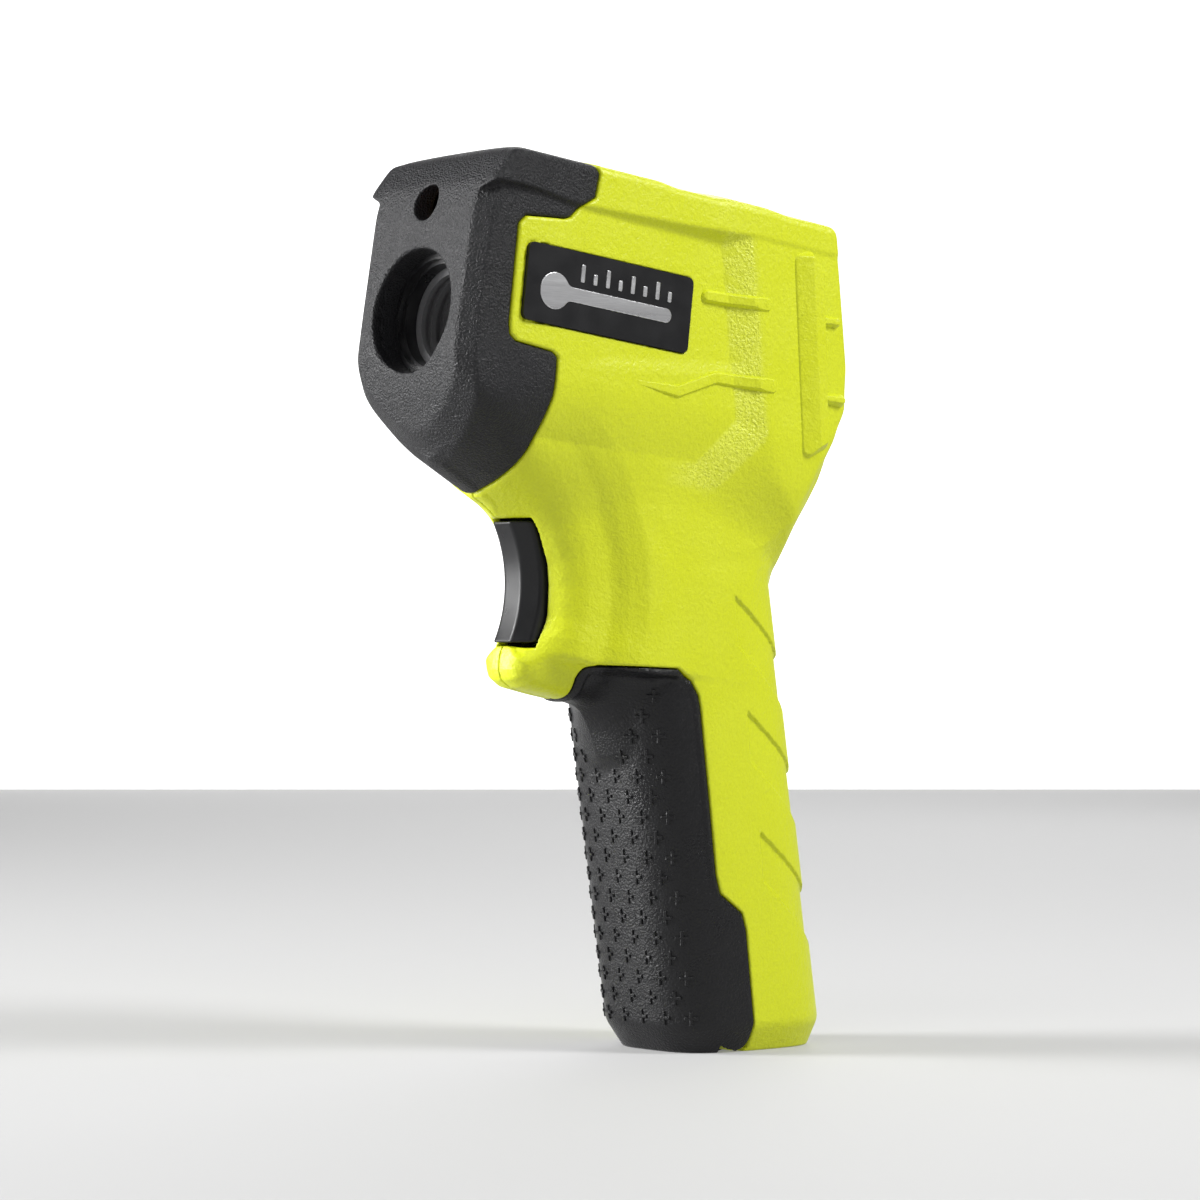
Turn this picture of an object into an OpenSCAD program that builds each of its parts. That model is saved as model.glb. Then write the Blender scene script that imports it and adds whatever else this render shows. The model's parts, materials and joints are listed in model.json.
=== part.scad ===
// Pistol-grip infrared thermometer, built from its separate pieces.
// Millimetres. +Z is up and the nose points along -Y. The device's left side is +X.
// The origin is on the flat underside of the grip, which the device can stand on.

/* [Barrel] */
// Distance of the aperture centre in front of the origin
nose_front = 70.5; // [66:0.5:74]
// Height of the aperture centre above the base
nose_height = 134.2; // [130:0.2:138]
// Nose-up tilt of the barrel
barrel_tilt = 6.8; // [6:0.2:7.6]
// Half the width across the raised rear frame
frame_half = 21; // [20.6:0.1:21.6]
// Half the width at the recessed side panels
panel_half = 18.4; // [18:0.1:18.8]
// Half the width of the flat front face
face_half = 15.3; // [14.8:0.1:15.8]
// Height of the crown above the barrel axis
crown_height = 31.5; // [31:0.1:32]
// Thickness of the barrel walls
wall = 2.2; // [2:0.1:2.4]

/* [Grip] */
// Half the width of the grip
grip_half_w = 16; // [15.8:0.1:16.6]
// Half the depth of the grip
grip_half_d = 18.8; // [18.6:0.1:19.4]
// Rearward rake of the grip
grip_rake = 8.6; // [8:0.1:9]
// Thickness of the grip walls
grip_wall = 1.8; // [1.6:0.1:2]
// Width of the chamfer round the base
base_chamfer = 2.6; // [2.2:0.1:3]
// Height of the chamfer round the base
chamfer_h = 5; // [4:0.2:5.6]

/* [Optics] */
// Radius of the measuring aperture
aperture_r = 11.1; // [10.8:0.1:11.4]
// Radius of the laser hole
laser_hole_r = 3.25; // [3:0.05:3.5]
// Height of the laser above the measuring axis
laser_rise = 19.6; // [19.4:0.1:20]

/* [Trigger] */
// Half the width of the trigger
trigger_half = 5.2; // [4.8:0.1:5.4]
// Radius of the trigger pin
trigger_pin_r = 1.0; // [0.9:0.05:1.1]
// Radius of the finger curve on the trigger's front
finger_r = 23.3; // [22:0.1:25]

/* [Battery door] */
// Gap all round the door
door_gap = 0.3; // [0.2:0.05:0.4]
// Radius of the hinge knuckle
knuckle_r = 2.75; // [2.6:0.05:2.8]
// Radius of the hinge pin
hinge_pin_r = 1.0; // [0.9:0.05:1.1]

/* [Display and keys] */
// Backward lean of the display face from upright
panel_lean = 7.4; // [7:0.1:8]
// Width of the display window
window_w = 28; // [26:0.5:29]
// Height of the display window
window_h = 15; // [13:0.5:15.5]
// Width of a key
key_w = 7; // [6:0.2:7.4]
// Height of a key
key_h = 4.6; // [4:0.2:5]

/* [Hidden] */
$fn = 48;
running_gap = 0.05;      // radial clearance of a pin in its bore
snug = 0.02;             // radial clearance of a part pressed home
half_gap = door_gap / 2;
sliver = 0.01;           // thickness of a section that only guides a hull
grip_foot = 1;           // Y of the grip's axis on the base
grip_top = 76;           // how far up its axis the grip's own form runs
key_pitch = 9.6;
key_row = -9.4;          // height of the key row on the display face
seat_x = -6;             // where the shell screws' heads sit
yellow = [0.80, 0.86, 0.16];
charcoal = [0.22, 0.22, 0.23];
black = [0.07, 0.07, 0.08];
steel = [0.72, 0.72, 0.74];
green = [0.10, 0.38, 0.20];
brass = [0.78, 0.62, 0.30];

// Hinge axes, as [y, z]
trigger_axis = [-44, 94.5];
door_axis = [-5.9, knuckle_r + 0.15];
// Places of the screws that close the shell, as [y, z]
screw_spots = [[-14.5, 143.5], [-46.5, 114.5], [-27, 96.5], [3.4, 67], [12.7, 12.2]];

// ---- frames ----

// Barrel frame: Y runs rearward along the measuring axis, Z is square to it
module barrel() {
    translate([0, -nose_front, nose_height]) rotate([-barrel_tilt, 0, 0]) children();
}

// Grip frame: Z runs up the raked grip from the base
module grip() {
    translate([0, grip_foot, 0]) rotate([grip_rake, 0, 0]) children();
}

// Display frame, as its user sees it: X right, Y up the face, Z out of the face
module display() {
    barrel() translate([0, 84.9, 14.2]) rotate([panel_lean + barrel_tilt - 90, 0, 0])
        rotate([0, 0, 180]) children();
}

// ---- outlines ----

function unit(v) = v / norm(v);

// An anticlockwise outline moved inwards by d
function inward(points, d) = let(n = len(points)) [for (i = [0:n - 1])
    let(a = unit(points[i] - points[(i + n - 1) % n]),
        b = unit(points[(i + 1) % n] - points[i]),
        na = [-a.y, a.x],
        nb = [-b.y, b.x])
    points[i] + (na + nb) * d / (1 + na * nb)];

// The +X side of an outline, bottom to top, followed by its mirror image
function both_sides(points) = concat(points,
    [for (i = [len(points) - 1:-1:0]) [-points[i].x, points[i].y]]);

// Superellipse with half-axes a and b
function superellipse(a, b, power, count) = [for (i = [0:count - 1])
    let(t = 360 * i / count, c = cos(t), s = sin(t))
    [a * sign(c) * pow(abs(c), 2 / power), b * sign(s) * pow(abs(s), 2 / power)]];

function crown(x) = crown_height - 2.6 * pow(x / 19, 2);

head_side = [[5.4, -24.7], [18, -30], [30, -34], [50, -38], [76, -37.5], [79.5, -26],
    [85.9, -11.5], [88.1, -5], [87.7, 2.7], [81.9, 26.2], [79.6, 29], [79, crown_height + 1],
    [15, crown_height + 1], [6, 29], [1.7, 22.4], [0.9, 18], [0, 0], [-0.3, -8]];
head_front = both_sides([[16.4, -42], [17.4, -30], [19.8, -22], [frame_half, -14],
    [frame_half, 27], [20.2, 28.7], [15, crown(15)], [10, crown(10)], [5, crown(5)]]);
head_plan = both_sides([[face_half, -1], [17.8, 2.8], [18.8, 10], [19.6, 30],
    [frame_half, 62], [frame_half, 83], [19.4, 92]]);
rail_front = both_sides([[17.6, 21.8], [frame_half, 23.2], [frame_half, 27],
    [20.2, 28.7], [15, crown(15)], [10, crown(10)], [5, crown(5)]]);
rail_plan = both_sides([[19, 1], [19.3, 25], [20, 45], [frame_half, 62],
    [frame_half, 83], [19.4, 92]]);
keel = both_sides([[2, -20.7], [6.5, -19.2], [9.4, -17], [13.2, -13.2], [17, -9.5],
    [30, 3], [30, 70]]);
keel_slope = 22.8;
side_pocket = [[-3, -15], [28, -17], [54.7, -19.8], [61.3, -11], [55.5, 18], [53, 21.2],
    [24, 22], [-3, 22.6]];
cavity_plan = both_sides([[face_half - wall, wall], [16.2, 7], [16.2, 56], [18.6, 63],
    [18.6, 95]]);
throat_side = [[-47, 71.5], [-30, 69], [6.6, 69], [6.6, 76], [6.3, 83.5], [6.8, 88.5],
    [9.2, 94], [12.6, 99], [14.6, 105], [15.6, 112], [10, 120], [-46, 114], [-57, 103.6],
    [-55.4, 101.4], [-52.6, 99.2], [-50.6, 97.4], [-47.8, 94.8], [-45.6, 91.5], [-44.5, 88],
    [-44, 84], [-44.4, 79.5], [-46.6, 75]];
throat_plan = both_sides([[3.5, -58.5], [6.2, -52], [6.6, -46], [7.8, -40.5], [10.6, -35.5],
    [13.6, -30], [15.4, -24], [16, -14], [15.8, -4], [14.2, 0], [12.2, 4], [10.2, 7],
    [8.6, 10], [7.4, 16]]);
spur_side = [[-50.8, 70.6], [-50.1, 68.7], [-48, 67.2], [-42.6, 66], [-37, 65.1],
    [-28, 64.9], [-28, 76], [-46, 76], [-48.2, 74.4], [-50.2, 72.4]];
spur_half = 6.2;
flare_side = [[-27, 57], [-20, 57], [-20, 74], [-36.5, 74], [-35.5, 70], [-31.5, 65.5]];
flare_half = 10.5;
nose_side = [[-9, -40], [17.6, -40], [17.6, -30], [19.4, -19.3], [20.2, -12.8],
    [19.9, -6.2], [18.7, -5.4], [10.7, -4.8], [9.4, -3.8], [9, -2], [9, 15.8], [10.4, 17.5],
    [18.6, 18.4], [19.8, 18.8], [21.6, 21], [24.4, 23.1], [24.9, 27.5], [24.2, 29],
    [24.2, 40], [-9, 40]];
door_side = [[-60, -3], [-3.1, -3], [-3.1, 5.3], [-5.1, 22.7], [-6.1, 25.7], [-11, 29.4],
    [-12, 32.7], [-13.7, 46.4], [-15.9, 63.6], [-16.4, 65.8], [-18, 68.4], [-21.5, 70.2],
    [-60, 70.2]];
door_tongue_half = 7.2;   // half the width of the shell's tongue above the door
door_tongue_z = 64.8;
trigger_side = [[-50.2, 75.4], [-42, 75.4], [-39.6, 79.5], [-39.6, 92], [-42.5, 97.3],
    [-49.8, 97.2], [-53, 90], [-53, 80]];
trigger_slot = [[-60, 74.4], [-41, 74.4], [-37.4, 79], [-37.4, 93], [-41.6, 98.2],
    [-60, 97.9]];
side_bar = [[77.7, -16], [83.4, -12.5], [78.5, 19.3], [75, 22.6], [71.2, 21.2]];
bar_rise = 1.2;           // how far the side bars stand proud of the rear frame
label_size = [38.2, 13.8];
label_centre = [30, 6.1];

// ---- prisms ----

// A side outline [y, z] extruded from x0 to x1
module side_slab(points, x0, x1) {
    translate([x0, 0, 0]) rotate([90, 0, 90]) linear_extrude(x1 - x0) polygon(points);
}

// A front outline [x, z] extruded from y0 to y1
module front_slab(points, y0, y1) {
    translate([0, y1, 0]) rotate([90, 0, 0]) linear_extrude(y1 - y0) polygon(points);
}

// A plan outline [x, y] extruded from z0 to z1
module plan_slab(points, z0, z1) {
    translate([0, 0, z0]) linear_extrude(z1 - z0) polygon(points);
}

// A block between two corners
module block(low, high) {
    translate(low) cube(high - low);
}

// A rod along X through [y, z]
module rod(r, x0, x1, spot) {
    translate([x0, spot.x, spot.y]) rotate([0, 90, 0]) cylinder(r = r, h = x1 - x0);
}

// A rod along Y through [x, z]
module barrel_rod(r, y0, y1, spot = [0, 0]) {
    translate([spot.x, y1, spot.y]) rotate([90, 0, 0]) cylinder(r = r, h = y1 - y0);
}

// A plate w by h with rounded corners, centred, from z0 to z1
module rounded_plate(w, h, r, z0, z1) {
    translate([0, 0, z0]) linear_extrude(z1 - z0) union() {
        square([w - 2 * r, h], center = true);
        square([w, h - 2 * r], center = true);
        for (x = [-1, 1], y = [-1, 1])
            translate([x * (w / 2 - r), y * (h / 2 - r)]) circle(r);
    }
}

// A round wire of radius r through the route's points, as one closed tube
module wire(route, r) {
    sides = 8;
    count = len(route);
    along = [for (i = [0:count - 1])
        unit(route[min(i + 1, count - 1)] - route[max(i - 1, 0)])];
    across = [for (t = along) unit(cross(t, [1, 0, 0]))];
    points = [for (i = [0:count - 1], j = [0:sides - 1])
        let(a = 360 * j / sides, up = cross(across[i], along[i]))
        route[i] + r * (cos(a) * across[i] + sin(a) * up)];
    caps = [[for (j = [0:sides - 1]) j],
        [for (j = [sides - 1:-1:0]) (count - 1) * sides + j]];
    walls = [for (i = [0:count - 2], j = [0:sides - 1])
        let(k = (j + 1) % sides)
        [i * sides + k, i * sides + j, (i + 1) * sides + j, (i + 1) * sides + k]];
    polyhedron(points = points, faces = concat(caps, walls));
}

// Points on the smooth curve through a route, for wires
function curve(p, steps = 4) = [for (i = [0:len(p) - 2], s = [0:steps - 1])
    let(t = s / steps,
        a = p[max(i - 1, 0)], b = p[i], c = p[i + 1], d = p[min(i + 2, len(p) - 1)])
    0.5 * (2 * b + (c - a) * t + (2 * a - 5 * b + 4 * c - d) * t * t
        + (3 * b - a - 3 * c + d) * t * t * t)];

// ---- outer form and cavity ----

module head_form() {
    barrel() difference() {
        intersection() {
            side_slab(head_side, -30, 30);
            union() {
                intersection() {
                    front_slab(head_front, -5, 100);
                    plan_slab(head_plan, -60, 50);
                    rotate([-keel_slope, 0, 0]) front_slab(keel, -60, 120);
                }
                intersection() {
                    front_slab(rail_front, -5, 100);
                    plan_slab(rail_plan, 10, 50);
                }
            }
        }
        side_slab(side_pocket, panel_half, 30);
        side_slab(side_pocket, -30, -panel_half);
    }
    barrel() {
        side_slab(side_bar, -frame_half - bar_rise / 2, frame_half + bar_rise / 2);
        side_slab(inward(side_bar, bar_rise), -frame_half - bar_rise, frame_half + bar_rise);
    }
}

// One level of the grip's base: its outline at height z, drawn in by d
module grip_level(z, d) {
    translate([0, grip_foot - z * tan(grip_rake), 0])
        plan_slab(superellipse(grip_half_w - d, grip_half_d / cos(grip_rake) - d, 3, 48),
            z, z + sliver);
}

// The raked grip with a chamfer all round its flat base
module grip_form(inset) {
    intersection() {
        grip() plan_slab(superellipse(grip_half_w - inset, grip_half_d - inset, 3, 48),
            -8, grip_top);
        union() {
            hull() {
                grip_level(inset, inset + base_chamfer);
                grip_level(inset + chamfer_h, inset - sliver);
            }
            block([-30, -60, inset + chamfer_h], [30, 60, 100]);
        }
    }
}

module outer_form() {
    union() {
        head_form();
        grip_form(0);
        intersection() {
            side_slab(throat_side, -30, 30);
            plan_slab(throat_plan, 60, 125);
        }
        side_slab(spur_side, -spur_half, spur_half);
        side_slab(flare_side, -flare_half, flare_half);
    }
}

module cavity() {
    barrel() intersection() {
        side_slab(inward(head_side, wall), -30, 30);
        plan_slab(cavity_plan, -60, crown(16) - wall - 0.4);
        front_slab(inward(head_front, wall), -5, 100);
        rotate([-keel_slope, 0, 0]) front_slab(inward(keel, wall), -60, 120);
    }
    grip_form(grip_wall);
    intersection() {
        side_slab(inward(throat_side, wall), -30, 30);
        plan_slab(inward(throat_plan, wall), 60, 125);
    }
    // passage from the throat down into the grip
    block([-9, -22, 60], [9, 5, 80]);
}

// Everything behind the battery door's seam, moved out by d, is left to the door
module door_region(d) {
    difference() {
        side_slab(inward(door_side, -d), -30, 30);
        block([-door_tongue_half + d, -60, door_tongue_z + d],
            [door_tongue_half - d, -15, 90]);
    }
}

// ---- shell halves ----

module shell_body() {
    difference() {
        outer_form();
        cavity();
        barrel() side_slab(inward(nose_side, -0.06), -40, 40);
        door_region(half_gap);
        display() rounded_plate(33.2, 27.6, 2, -8, 6);
        display() rounded_plate(36.3, 29.9, 2, -9, -2.55);
        side_slab(trigger_slot, -trigger_half - 0.35, trigger_half + 0.35);
        for (side = [-1, 1])
            barrel() translate([side * panel_half, label_centre.x, label_centre.y])
                rotate([90, 0, 90]) rounded_plate(label_size.x + 0.1, label_size.y + 0.1, 1.2,
                    -0.5, 0.5);
        rod(trigger_pin_r + snug, -6.7, 6.7, trigger_axis);
    }
}

// Ears on the shell's floor that carry the door's hinge pin
module hinge_ears() {
    difference() {
        union() {
            for (x = [-13.6, 9.9]) {
                rod(2.6, x, x + 3.7, door_axis);
                block([x, door_axis.x, 0.6], [x + 3.7, 0, 4.6]);
            }
        }
        rod(hinge_pin_r + snug, -13.2, 13.2, door_axis);
    }
}

module screw_bosses(r) {
    intersection() {
        outer_form();
        union() {
            for (spot = screw_spots)
                rod(r, -22, 22, spot);
        }
    }
}

// Ribs behind the battery and beside the trigger switch
module shell_ribs() {
    for (x = [-9.5, 8])
        grip() block([x, 9.2, 18], [x + 1.5, 17.5, 52]);
    for (z = [78.5, 86.5])
        block([-12, -35.5, z], [12, -31, z + 1.5]);
}

module shell_all(boss_r) {
    difference() {
        union() {
            shell_body();
            screw_bosses(boss_r);
            shell_ribs();
            hinge_ears();
        }
        block([-3.5, -38, 77], [3.5, -29, 90]);
        door_region_rim();
    }
}

// Clears the bosses and ribs from the door's side of the seam
module door_region_rim() {
    difference() {
        door_region(half_gap);
        block([-14, -9, 0], [14, 6, 6]);
    }
}

module shell_left() {
    color(yellow) difference() {
        intersection() {
            shell_all(3);
            block([0, -100, -10], [60, 60, 200]);
        }
        for (spot = screw_spots)
            rod(1.3 + snug, -1, 7.2, spot);
    }
}

module shell_right() {
    color(yellow) difference() {
        intersection() {
            shell_all(4);
            block([-60, -100, -10], [0, 60, 200]);
        }
        for (spot = screw_spots) {
            rod(1.5, seat_x - 1, 1, spot);
            rod(2.9, -40, seat_x, spot);
        }
    }
}

module shell_screws() {
    color(steel) for (spot = screw_spots) difference() {
        union() {
            rod(1.3, seat_x, 6.6, spot);
            rod(2.5, seat_x - 1.8, seat_x, spot);
        }
        rod(0.8, seat_x - 3, seat_x - 0.8, spot);
    }
}

module nose_cap() {
    color(charcoal) barrel() difference() {
        union() {
            intersection() {
                difference() {
                    rotate([barrel_tilt, 0, 0]) translate([0, nose_front, -nose_height])
                        head_form();
                    rotate([barrel_tilt, 0, 0]) translate([0, nose_front, -nose_height])
                        cavity();
                }
                side_slab(nose_side, -40, 40);
            }
            barrel_rod(13.3, 1.6, 7);
            barrel_rod(4.8, 1.8, 5.6, [0, laser_rise]);
        }
        barrel_rod(aperture_r, -9, 30);
        barrel_rod(laser_hole_r, -9, 30, [0, laser_rise]);
    }
}

module badge(side) {
    color(black) barrel() translate([side * (panel_half - 0.5), label_centre.x,
        label_centre.y]) rotate([90, 0, 90])
        rounded_plate(label_size.x, label_size.y, 1.2, side > 0 ? 0 : -0.8,
            side > 0 ? 0.8 : 0);
}

module side_badge_left() { badge(1); }

module side_badge_right() { badge(-1); }

// ---- optics ----

module aperture_ring() {
    color(black) barrel() difference() {
        barrel_rod(aperture_r - running_gap, 5, 8.6);
        barrel_rod(10.1, 4, 6.2);
        barrel_rod(9.4, 4, 10);
    }
}

module ir_baffle() {
    color([0.55, 0.55, 0.56]) barrel() difference() {
        barrel_rod(10.4, 8.7, 24.9);
        barrel_rod(8, 8, 26);
        for (i = [0:5])
            barrel_rod(8.9, 9.6 + 2.5 * i, 11 + 2.5 * i);
    }
}

module ir_lens() {
    lens_r = 10.3;
    bulge = 1.4;
    steps = 8;
    face = [for (i = [0:steps]) let(r = lens_r * i / steps)
        [r, bulge * (1 - pow(r / lens_r, 2))]];
    color([0.85, 0.85, 0.82]) barrel() translate([0, 26.6, 0]) rotate([90, 0, 0])
        rotate_extrude() polygon(concat([[0, -1.2], [0, bulge]],
            [for (i = [1:steps]) face[i]], [[lens_r, -1.2]]));
}

module optics_tube() {
    color(black) barrel() difference() {
        union() {
            barrel_rod(12.2, 8.7, 29);
            barrel_rod(8.4, 29, 40.4);
            block([-5, 9, 10], [5, 18, laser_rise - 3.2]);
            for (z = [-8.6, 8.6])
                block([-3, 29, z - 2.4], [3, 40.4, z + 2.4]);
        }
        barrel_rod(10.5, 7, 28.1);
        barrel_rod(5.2, 27, 42);
        for (z = [-9.4, 9.4])
            barrel_rod(0.82, 33, 42, [0, z]);
    }
}

module thermopile_sensor() {
    color(steel) barrel() difference() {
        union() {
            barrel_rod(4.6, 35.8, 40);
            barrel_rod(5, 40, 40.4);
        }
        barrel_rod(2, 35, 36.2);
    }
}

module sensor_board() {
    color(green) barrel() difference() {
        block([-11, 40.45, -12], [11, 41.65, 12]);
        for (z = [-9.4, 9.4])
            barrel_rod(1.1, 39, 43, [0, z]);
    }
}

module sensor_board_screws() {
    color(steel) barrel() for (z = [-9.4, 9.4]) {
        barrel_rod(0.8, 35, 41.65, [0, z]);
        barrel_rod(1.9, 41.65, 42.9, [0, z]);
    }
}

// Flat cable from the sensor board to the main board
module sensor_ribbon() {
    color([0.80, 0.78, 0.70]) barrel()
        side_slab([[41.7, -5.5], [42, -5.5], [48, -7.2], [56, -4.4], [64, -6.6], [71, -4.2],
            [78.5, -4.2], [78.4, -3.9], [71, -3.9], [64, -6.3], [56, -4.1], [48, -6.9],
            [42, -5.2], [41.7, -5.2]], -4, 4);
}

// ---- laser ----

module laser_module() {
    color(brass) barrel() difference() {
        barrel_rod(3.1, 6, 20, [0, laser_rise]);
        barrel_rod(2.45, 5, 8, [0, laser_rise]);
    }
}

module laser_lens() {
    color([0.8, 0.3, 0.3]) barrel() barrel_rod(2.4, 6.8, 7.9, [0, laser_rise]);
}

laser_lead_route = [[1, 20.1, 19.6], [1, 26, 20.6], [2.5, 36, 20.6], [3.6, 46, 22.4],
    [4, 56, 22.2], [3.6, 66, 20.4], [3, 72.5, 19.3]];

module laser_leads() {
    color([0.7, 0.1, 0.1]) barrel() {
        wire(curve(laser_lead_route), 0.6);
        mirror([1, 0, 0]) wire(curve(laser_lead_route), 0.6);
    }
}

// ---- display, keys and main board ----

module rear_bezel() {
    color(charcoal) display() difference() {
        union() {
            rounded_plate(32.8, 27.2, 1.8, -2.6, -0.6);
            rounded_plate(36, 29.6, 1.8, -3.9, -2.6);
        }
        translate([0, 4.2, 0]) rounded_plate(window_w - 2.4, window_h - 2.4, 0.8, -5, 1);
        translate([0, 4.2, 0]) rounded_plate(window_w + 0.1, window_h + 0.1, 1.2, -1.9, 1);
        for (i = [-1:1])
            translate([i * key_pitch, key_row, 0])
                rounded_plate(key_w + 0.5, key_h + 0.5, 1.2, -5, 1);
        // step that clears the key flanges
        block([-15.2, key_row - 3.6, -5], [15.2, key_row + 3.6, -2.3]);
    }
}

module display_window() {
    color([0.75, 0.85, 0.85, 0.4]) display() translate([0, 4.2, 0])
        rounded_plate(window_w, window_h, 1.2, -1.88, -0.7);
}

module lcd_panel() {
    color([0.62, 0.68, 0.60]) display() block([-14, -2.9, -5.6], [14, 11.3, -4]);
}

module lcd_backlight() {
    color([0.92, 0.92, 0.88]) display() block([-14, -0.6, -8.2], [14, 9, -5.7]);
}

module lcd_frame() {
    color([0.90, 0.90, 0.90]) display() difference() {
        block([-15.4, -4.3, -8.9], [15.4, 12.7, -4]);
        block([-14.1, -3, -9.5], [14.1, 11.4, -3]);
    }
}

// Rubber connectors between the LCD glass and the main board
module zebra_strips() {
    color([0.85, 0.45, 0.55]) display() for (y = [-2.6, 9.4])
        block([-13, y, -8.9], [13, y + 1.6, -5.65]);
}

module main_board() {
    color(green) display() difference() {
        block([-17, -20.5, -10.6], [17, 13.4, -9]);
        for (x = [-14.6, 14.6])
            translate([x, -17.8, -12]) cylinder(r = 1.2, h = 5);
    }
}

module main_board_screws() {
    color(steel) display() for (x = [-14.6, 14.6])
        translate([x, -17.8, 0]) {
            translate([0, 0, -9]) cylinder(r = 2, h = 1.4);
            translate([0, 0, -13]) cylinder(r = 1.1, h = 4);
        }
}

module key_switches() {
    color([0.3, 0.3, 0.32]) display() for (i = [-1:1])
        translate([i * key_pitch, key_row, 0]) {
            block([-3, -3, -9], [3, 3, -5.9]);
            translate([0, 0, -5.9]) cylinder(r = 1.6, h = 0.7);
        }
}

// A key with a flange behind the bezel, which stops it falling out
module key(slot) {
    color([0.35, 0.35, 0.36]) display() translate([slot * key_pitch, key_row, 0]) {
        rounded_plate(key_w, key_h, 1, -2.9, 0.5);
        rounded_plate(key_w + 1.6, key_h + 1.6, 1, -3.7, -2.9);
        translate([0, 0, -4.2]) cylinder(r = 1.5, h = 0.6);
    }
}

module button_laser() { key(-1); }

module button_units() { key(0); }

module button_mode() { key(1); }

module processor_chip() {
    color(black) display() block([-5, -4, -12.2], [5, 6, -10.6]);
}

module board_capacitors() {
    color([0.75, 0.6, 0.3]) display() {
        for (x = [-12, -9.5, 9.5, 12])
            block([x - 0.8, -8, -11.8], [x + 0.8, -4.8, -10.6]);
        translate([10.5, 6, -15]) cylinder(r = 2.5, h = 4.4);
    }
}

module buzzer() {
    color(black) display() translate([-10, 5, 0]) difference() {
        translate([0, 0, -15]) cylinder(r = 4.6, h = 4.4);
        translate([0, 0, -16]) cylinder(r = 0.9, h = 2.5);
    }
}

// ---- trigger ----

module trigger() {
    centre_y = -47.3 - finger_r;
    color(charcoal) difference() {
        intersection() {
            union() {
                translate([0, centre_y, 86.1]) rotate([0, 90, 0]) rotate_extrude($fn = 96)
                    polygon([[finger_r, -2.1], [finger_r + 2.6, -trigger_half],
                        [finger_r + 12, -trigger_half], [finger_r + 12, trigger_half],
                        [finger_r + 2.6, trigger_half], [finger_r, 2.1]]);
                rod(3.2, -trigger_half, trigger_half, trigger_axis);
            }
            side_slab(trigger_side, -10, 10);
        }
        rod(trigger_pin_r + running_gap, -8, 8, trigger_axis);
        // slot that leaves room for the spring on the pin
        rod(3.4, -2.6, 2.6, trigger_axis);
        block([-2.6, -45, 90.4], [2.6, -39, 98]);
    }
}

module trigger_pin() {
    color(steel) rod(trigger_pin_r, -6.6, 6.6, trigger_axis);
}

// Torsion spring wound on the trigger pin, with one leg back to the shell
function spring_route() = concat([for (i = [0:44]) let(a = 180 - 36 * i)
    [-1.6 + 3.2 * i / 44, trigger_axis.x + 1.75 * cos(a), trigger_axis.y + 1.75 * sin(a)]],
    [[1.7, trigger_axis.x + 4, trigger_axis.y + 2.2], [1.7, -36.4, 97]]);

module trigger_spring() {
    color(steel) wire(spring_route(), 0.35);
}

module trigger_switch() {
    color(black) {
        block([-3.2, -36.6, 79], [3.2, -30.6, 89]);
        translate([0, -36.6, 83]) rotate([90, 0, 0]) cylinder(r = 1.2, h = 0.8);
        for (z = [81, 87])
            block([-1, -30.6, z - 0.3], [1, -28, z + 0.3]);
    }
}

upper_lead_route = [[0, -27.5, 87], [3, -23, 90], [7, -16, 99], [9, -8, 106],
    [9, 0, 112], [9, 5, 117], [9, 7.1, 119]];
lower_lead_route = [[0, -27.5, 81], [2, -22, 85], [4.4, -14, 98], [5, -6, 106],
    [5, 1, 112], [5, 5.4, 117], [5, 7.1, 119]];

module switch_leads() {
    color([0.9, 0.9, 0.9]) {
        wire(curve(upper_lead_route), 0.6);
        wire(curve(lower_lead_route), 0.6);
    }
}

// ---- battery and its door ----

module battery_door() {
    color(charcoal) difference() {
        union() {
            intersection() {
                difference() {
                    outer_form();
                    cavity();
                    block([-14, -30, 2 * grip_wall], [14, 12, 58]);
                }
                door_region(-half_gap);
                door_corner();
            }
            intersection() {
                difference() {
                    grip_form(0);
                    grip_form(grip_wall);
                }
                door_region(-half_gap);
                door_corner();
            }
            rod(knuckle_r, -9.5, 9.5, door_axis);
            block([-9.5, door_axis.x - 4, 0.15], [9.5, door_axis.x, 2.4]);
        }
        rod(hinge_pin_r + running_gap, -12, 12, door_axis);
        for (x = [-13.9, 9.65])
            block([x, door_axis.x - 3.1, -1], [x + 4.25, 2, 8]);
    }
}

// Keeps the door's lower rear corner within the knuckle's radius
module door_corner() {
    union() {
        block([-30, -100, -1], [30, door_axis.x, 90]);
        block([-30, -100, door_axis.y], [30, 30, 90]);
        rod(knuckle_r, -30, 30, door_axis);
    }
}

module battery_pad() {
    color([0.25, 0.25, 0.27]) grip() block([-8, -13.4, 18], [8, -9.3, 46]);
}

module door_hinge_pin() {
    color(steel) rod(hinge_pin_r, -13.1, 13.1, door_axis);
}

module battery_9v() {
    color([0.30, 0.32, 0.36]) grip() rounded_plate(26.5, 17.5, 2.6, 8.5, 54.9);
}

module battery_terminals() {
    color(steel) grip() for (x = [-6.35, 6.35])
        translate([x, 0, 54.9]) {
            cylinder(r = x < 0 ? 2.8 : 3.4, h = 2);
            cylinder(r = 2, h = 2.6);
        }
}

module battery_snap() {
    color(black) grip() {
        rounded_plate(25, 12.6, 2, 57.7, 60.2);
        for (x = [-6.35, 6.35])
            translate([x, 0, 55.1]) difference() {
                cylinder(r = 5, h = 2.7);
                translate([0, 0, -1]) cylinder(r = 3.6, h = 5);
            }
    }
}

battery_lead_route = [[4.5, -8.6, 60.9], [4.5, -9.4, 66], [3.4, -11, 76], [2.6, -11, 86],
    [2.4, -6, 98], [2.2, 0, 108], [2.2, 5, 116.6], [2.2, 7.2, 119]];

module battery_lead_red() {
    color([0.75, 0.08, 0.06]) wire(curve(battery_lead_route), 0.8);
}

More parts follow.
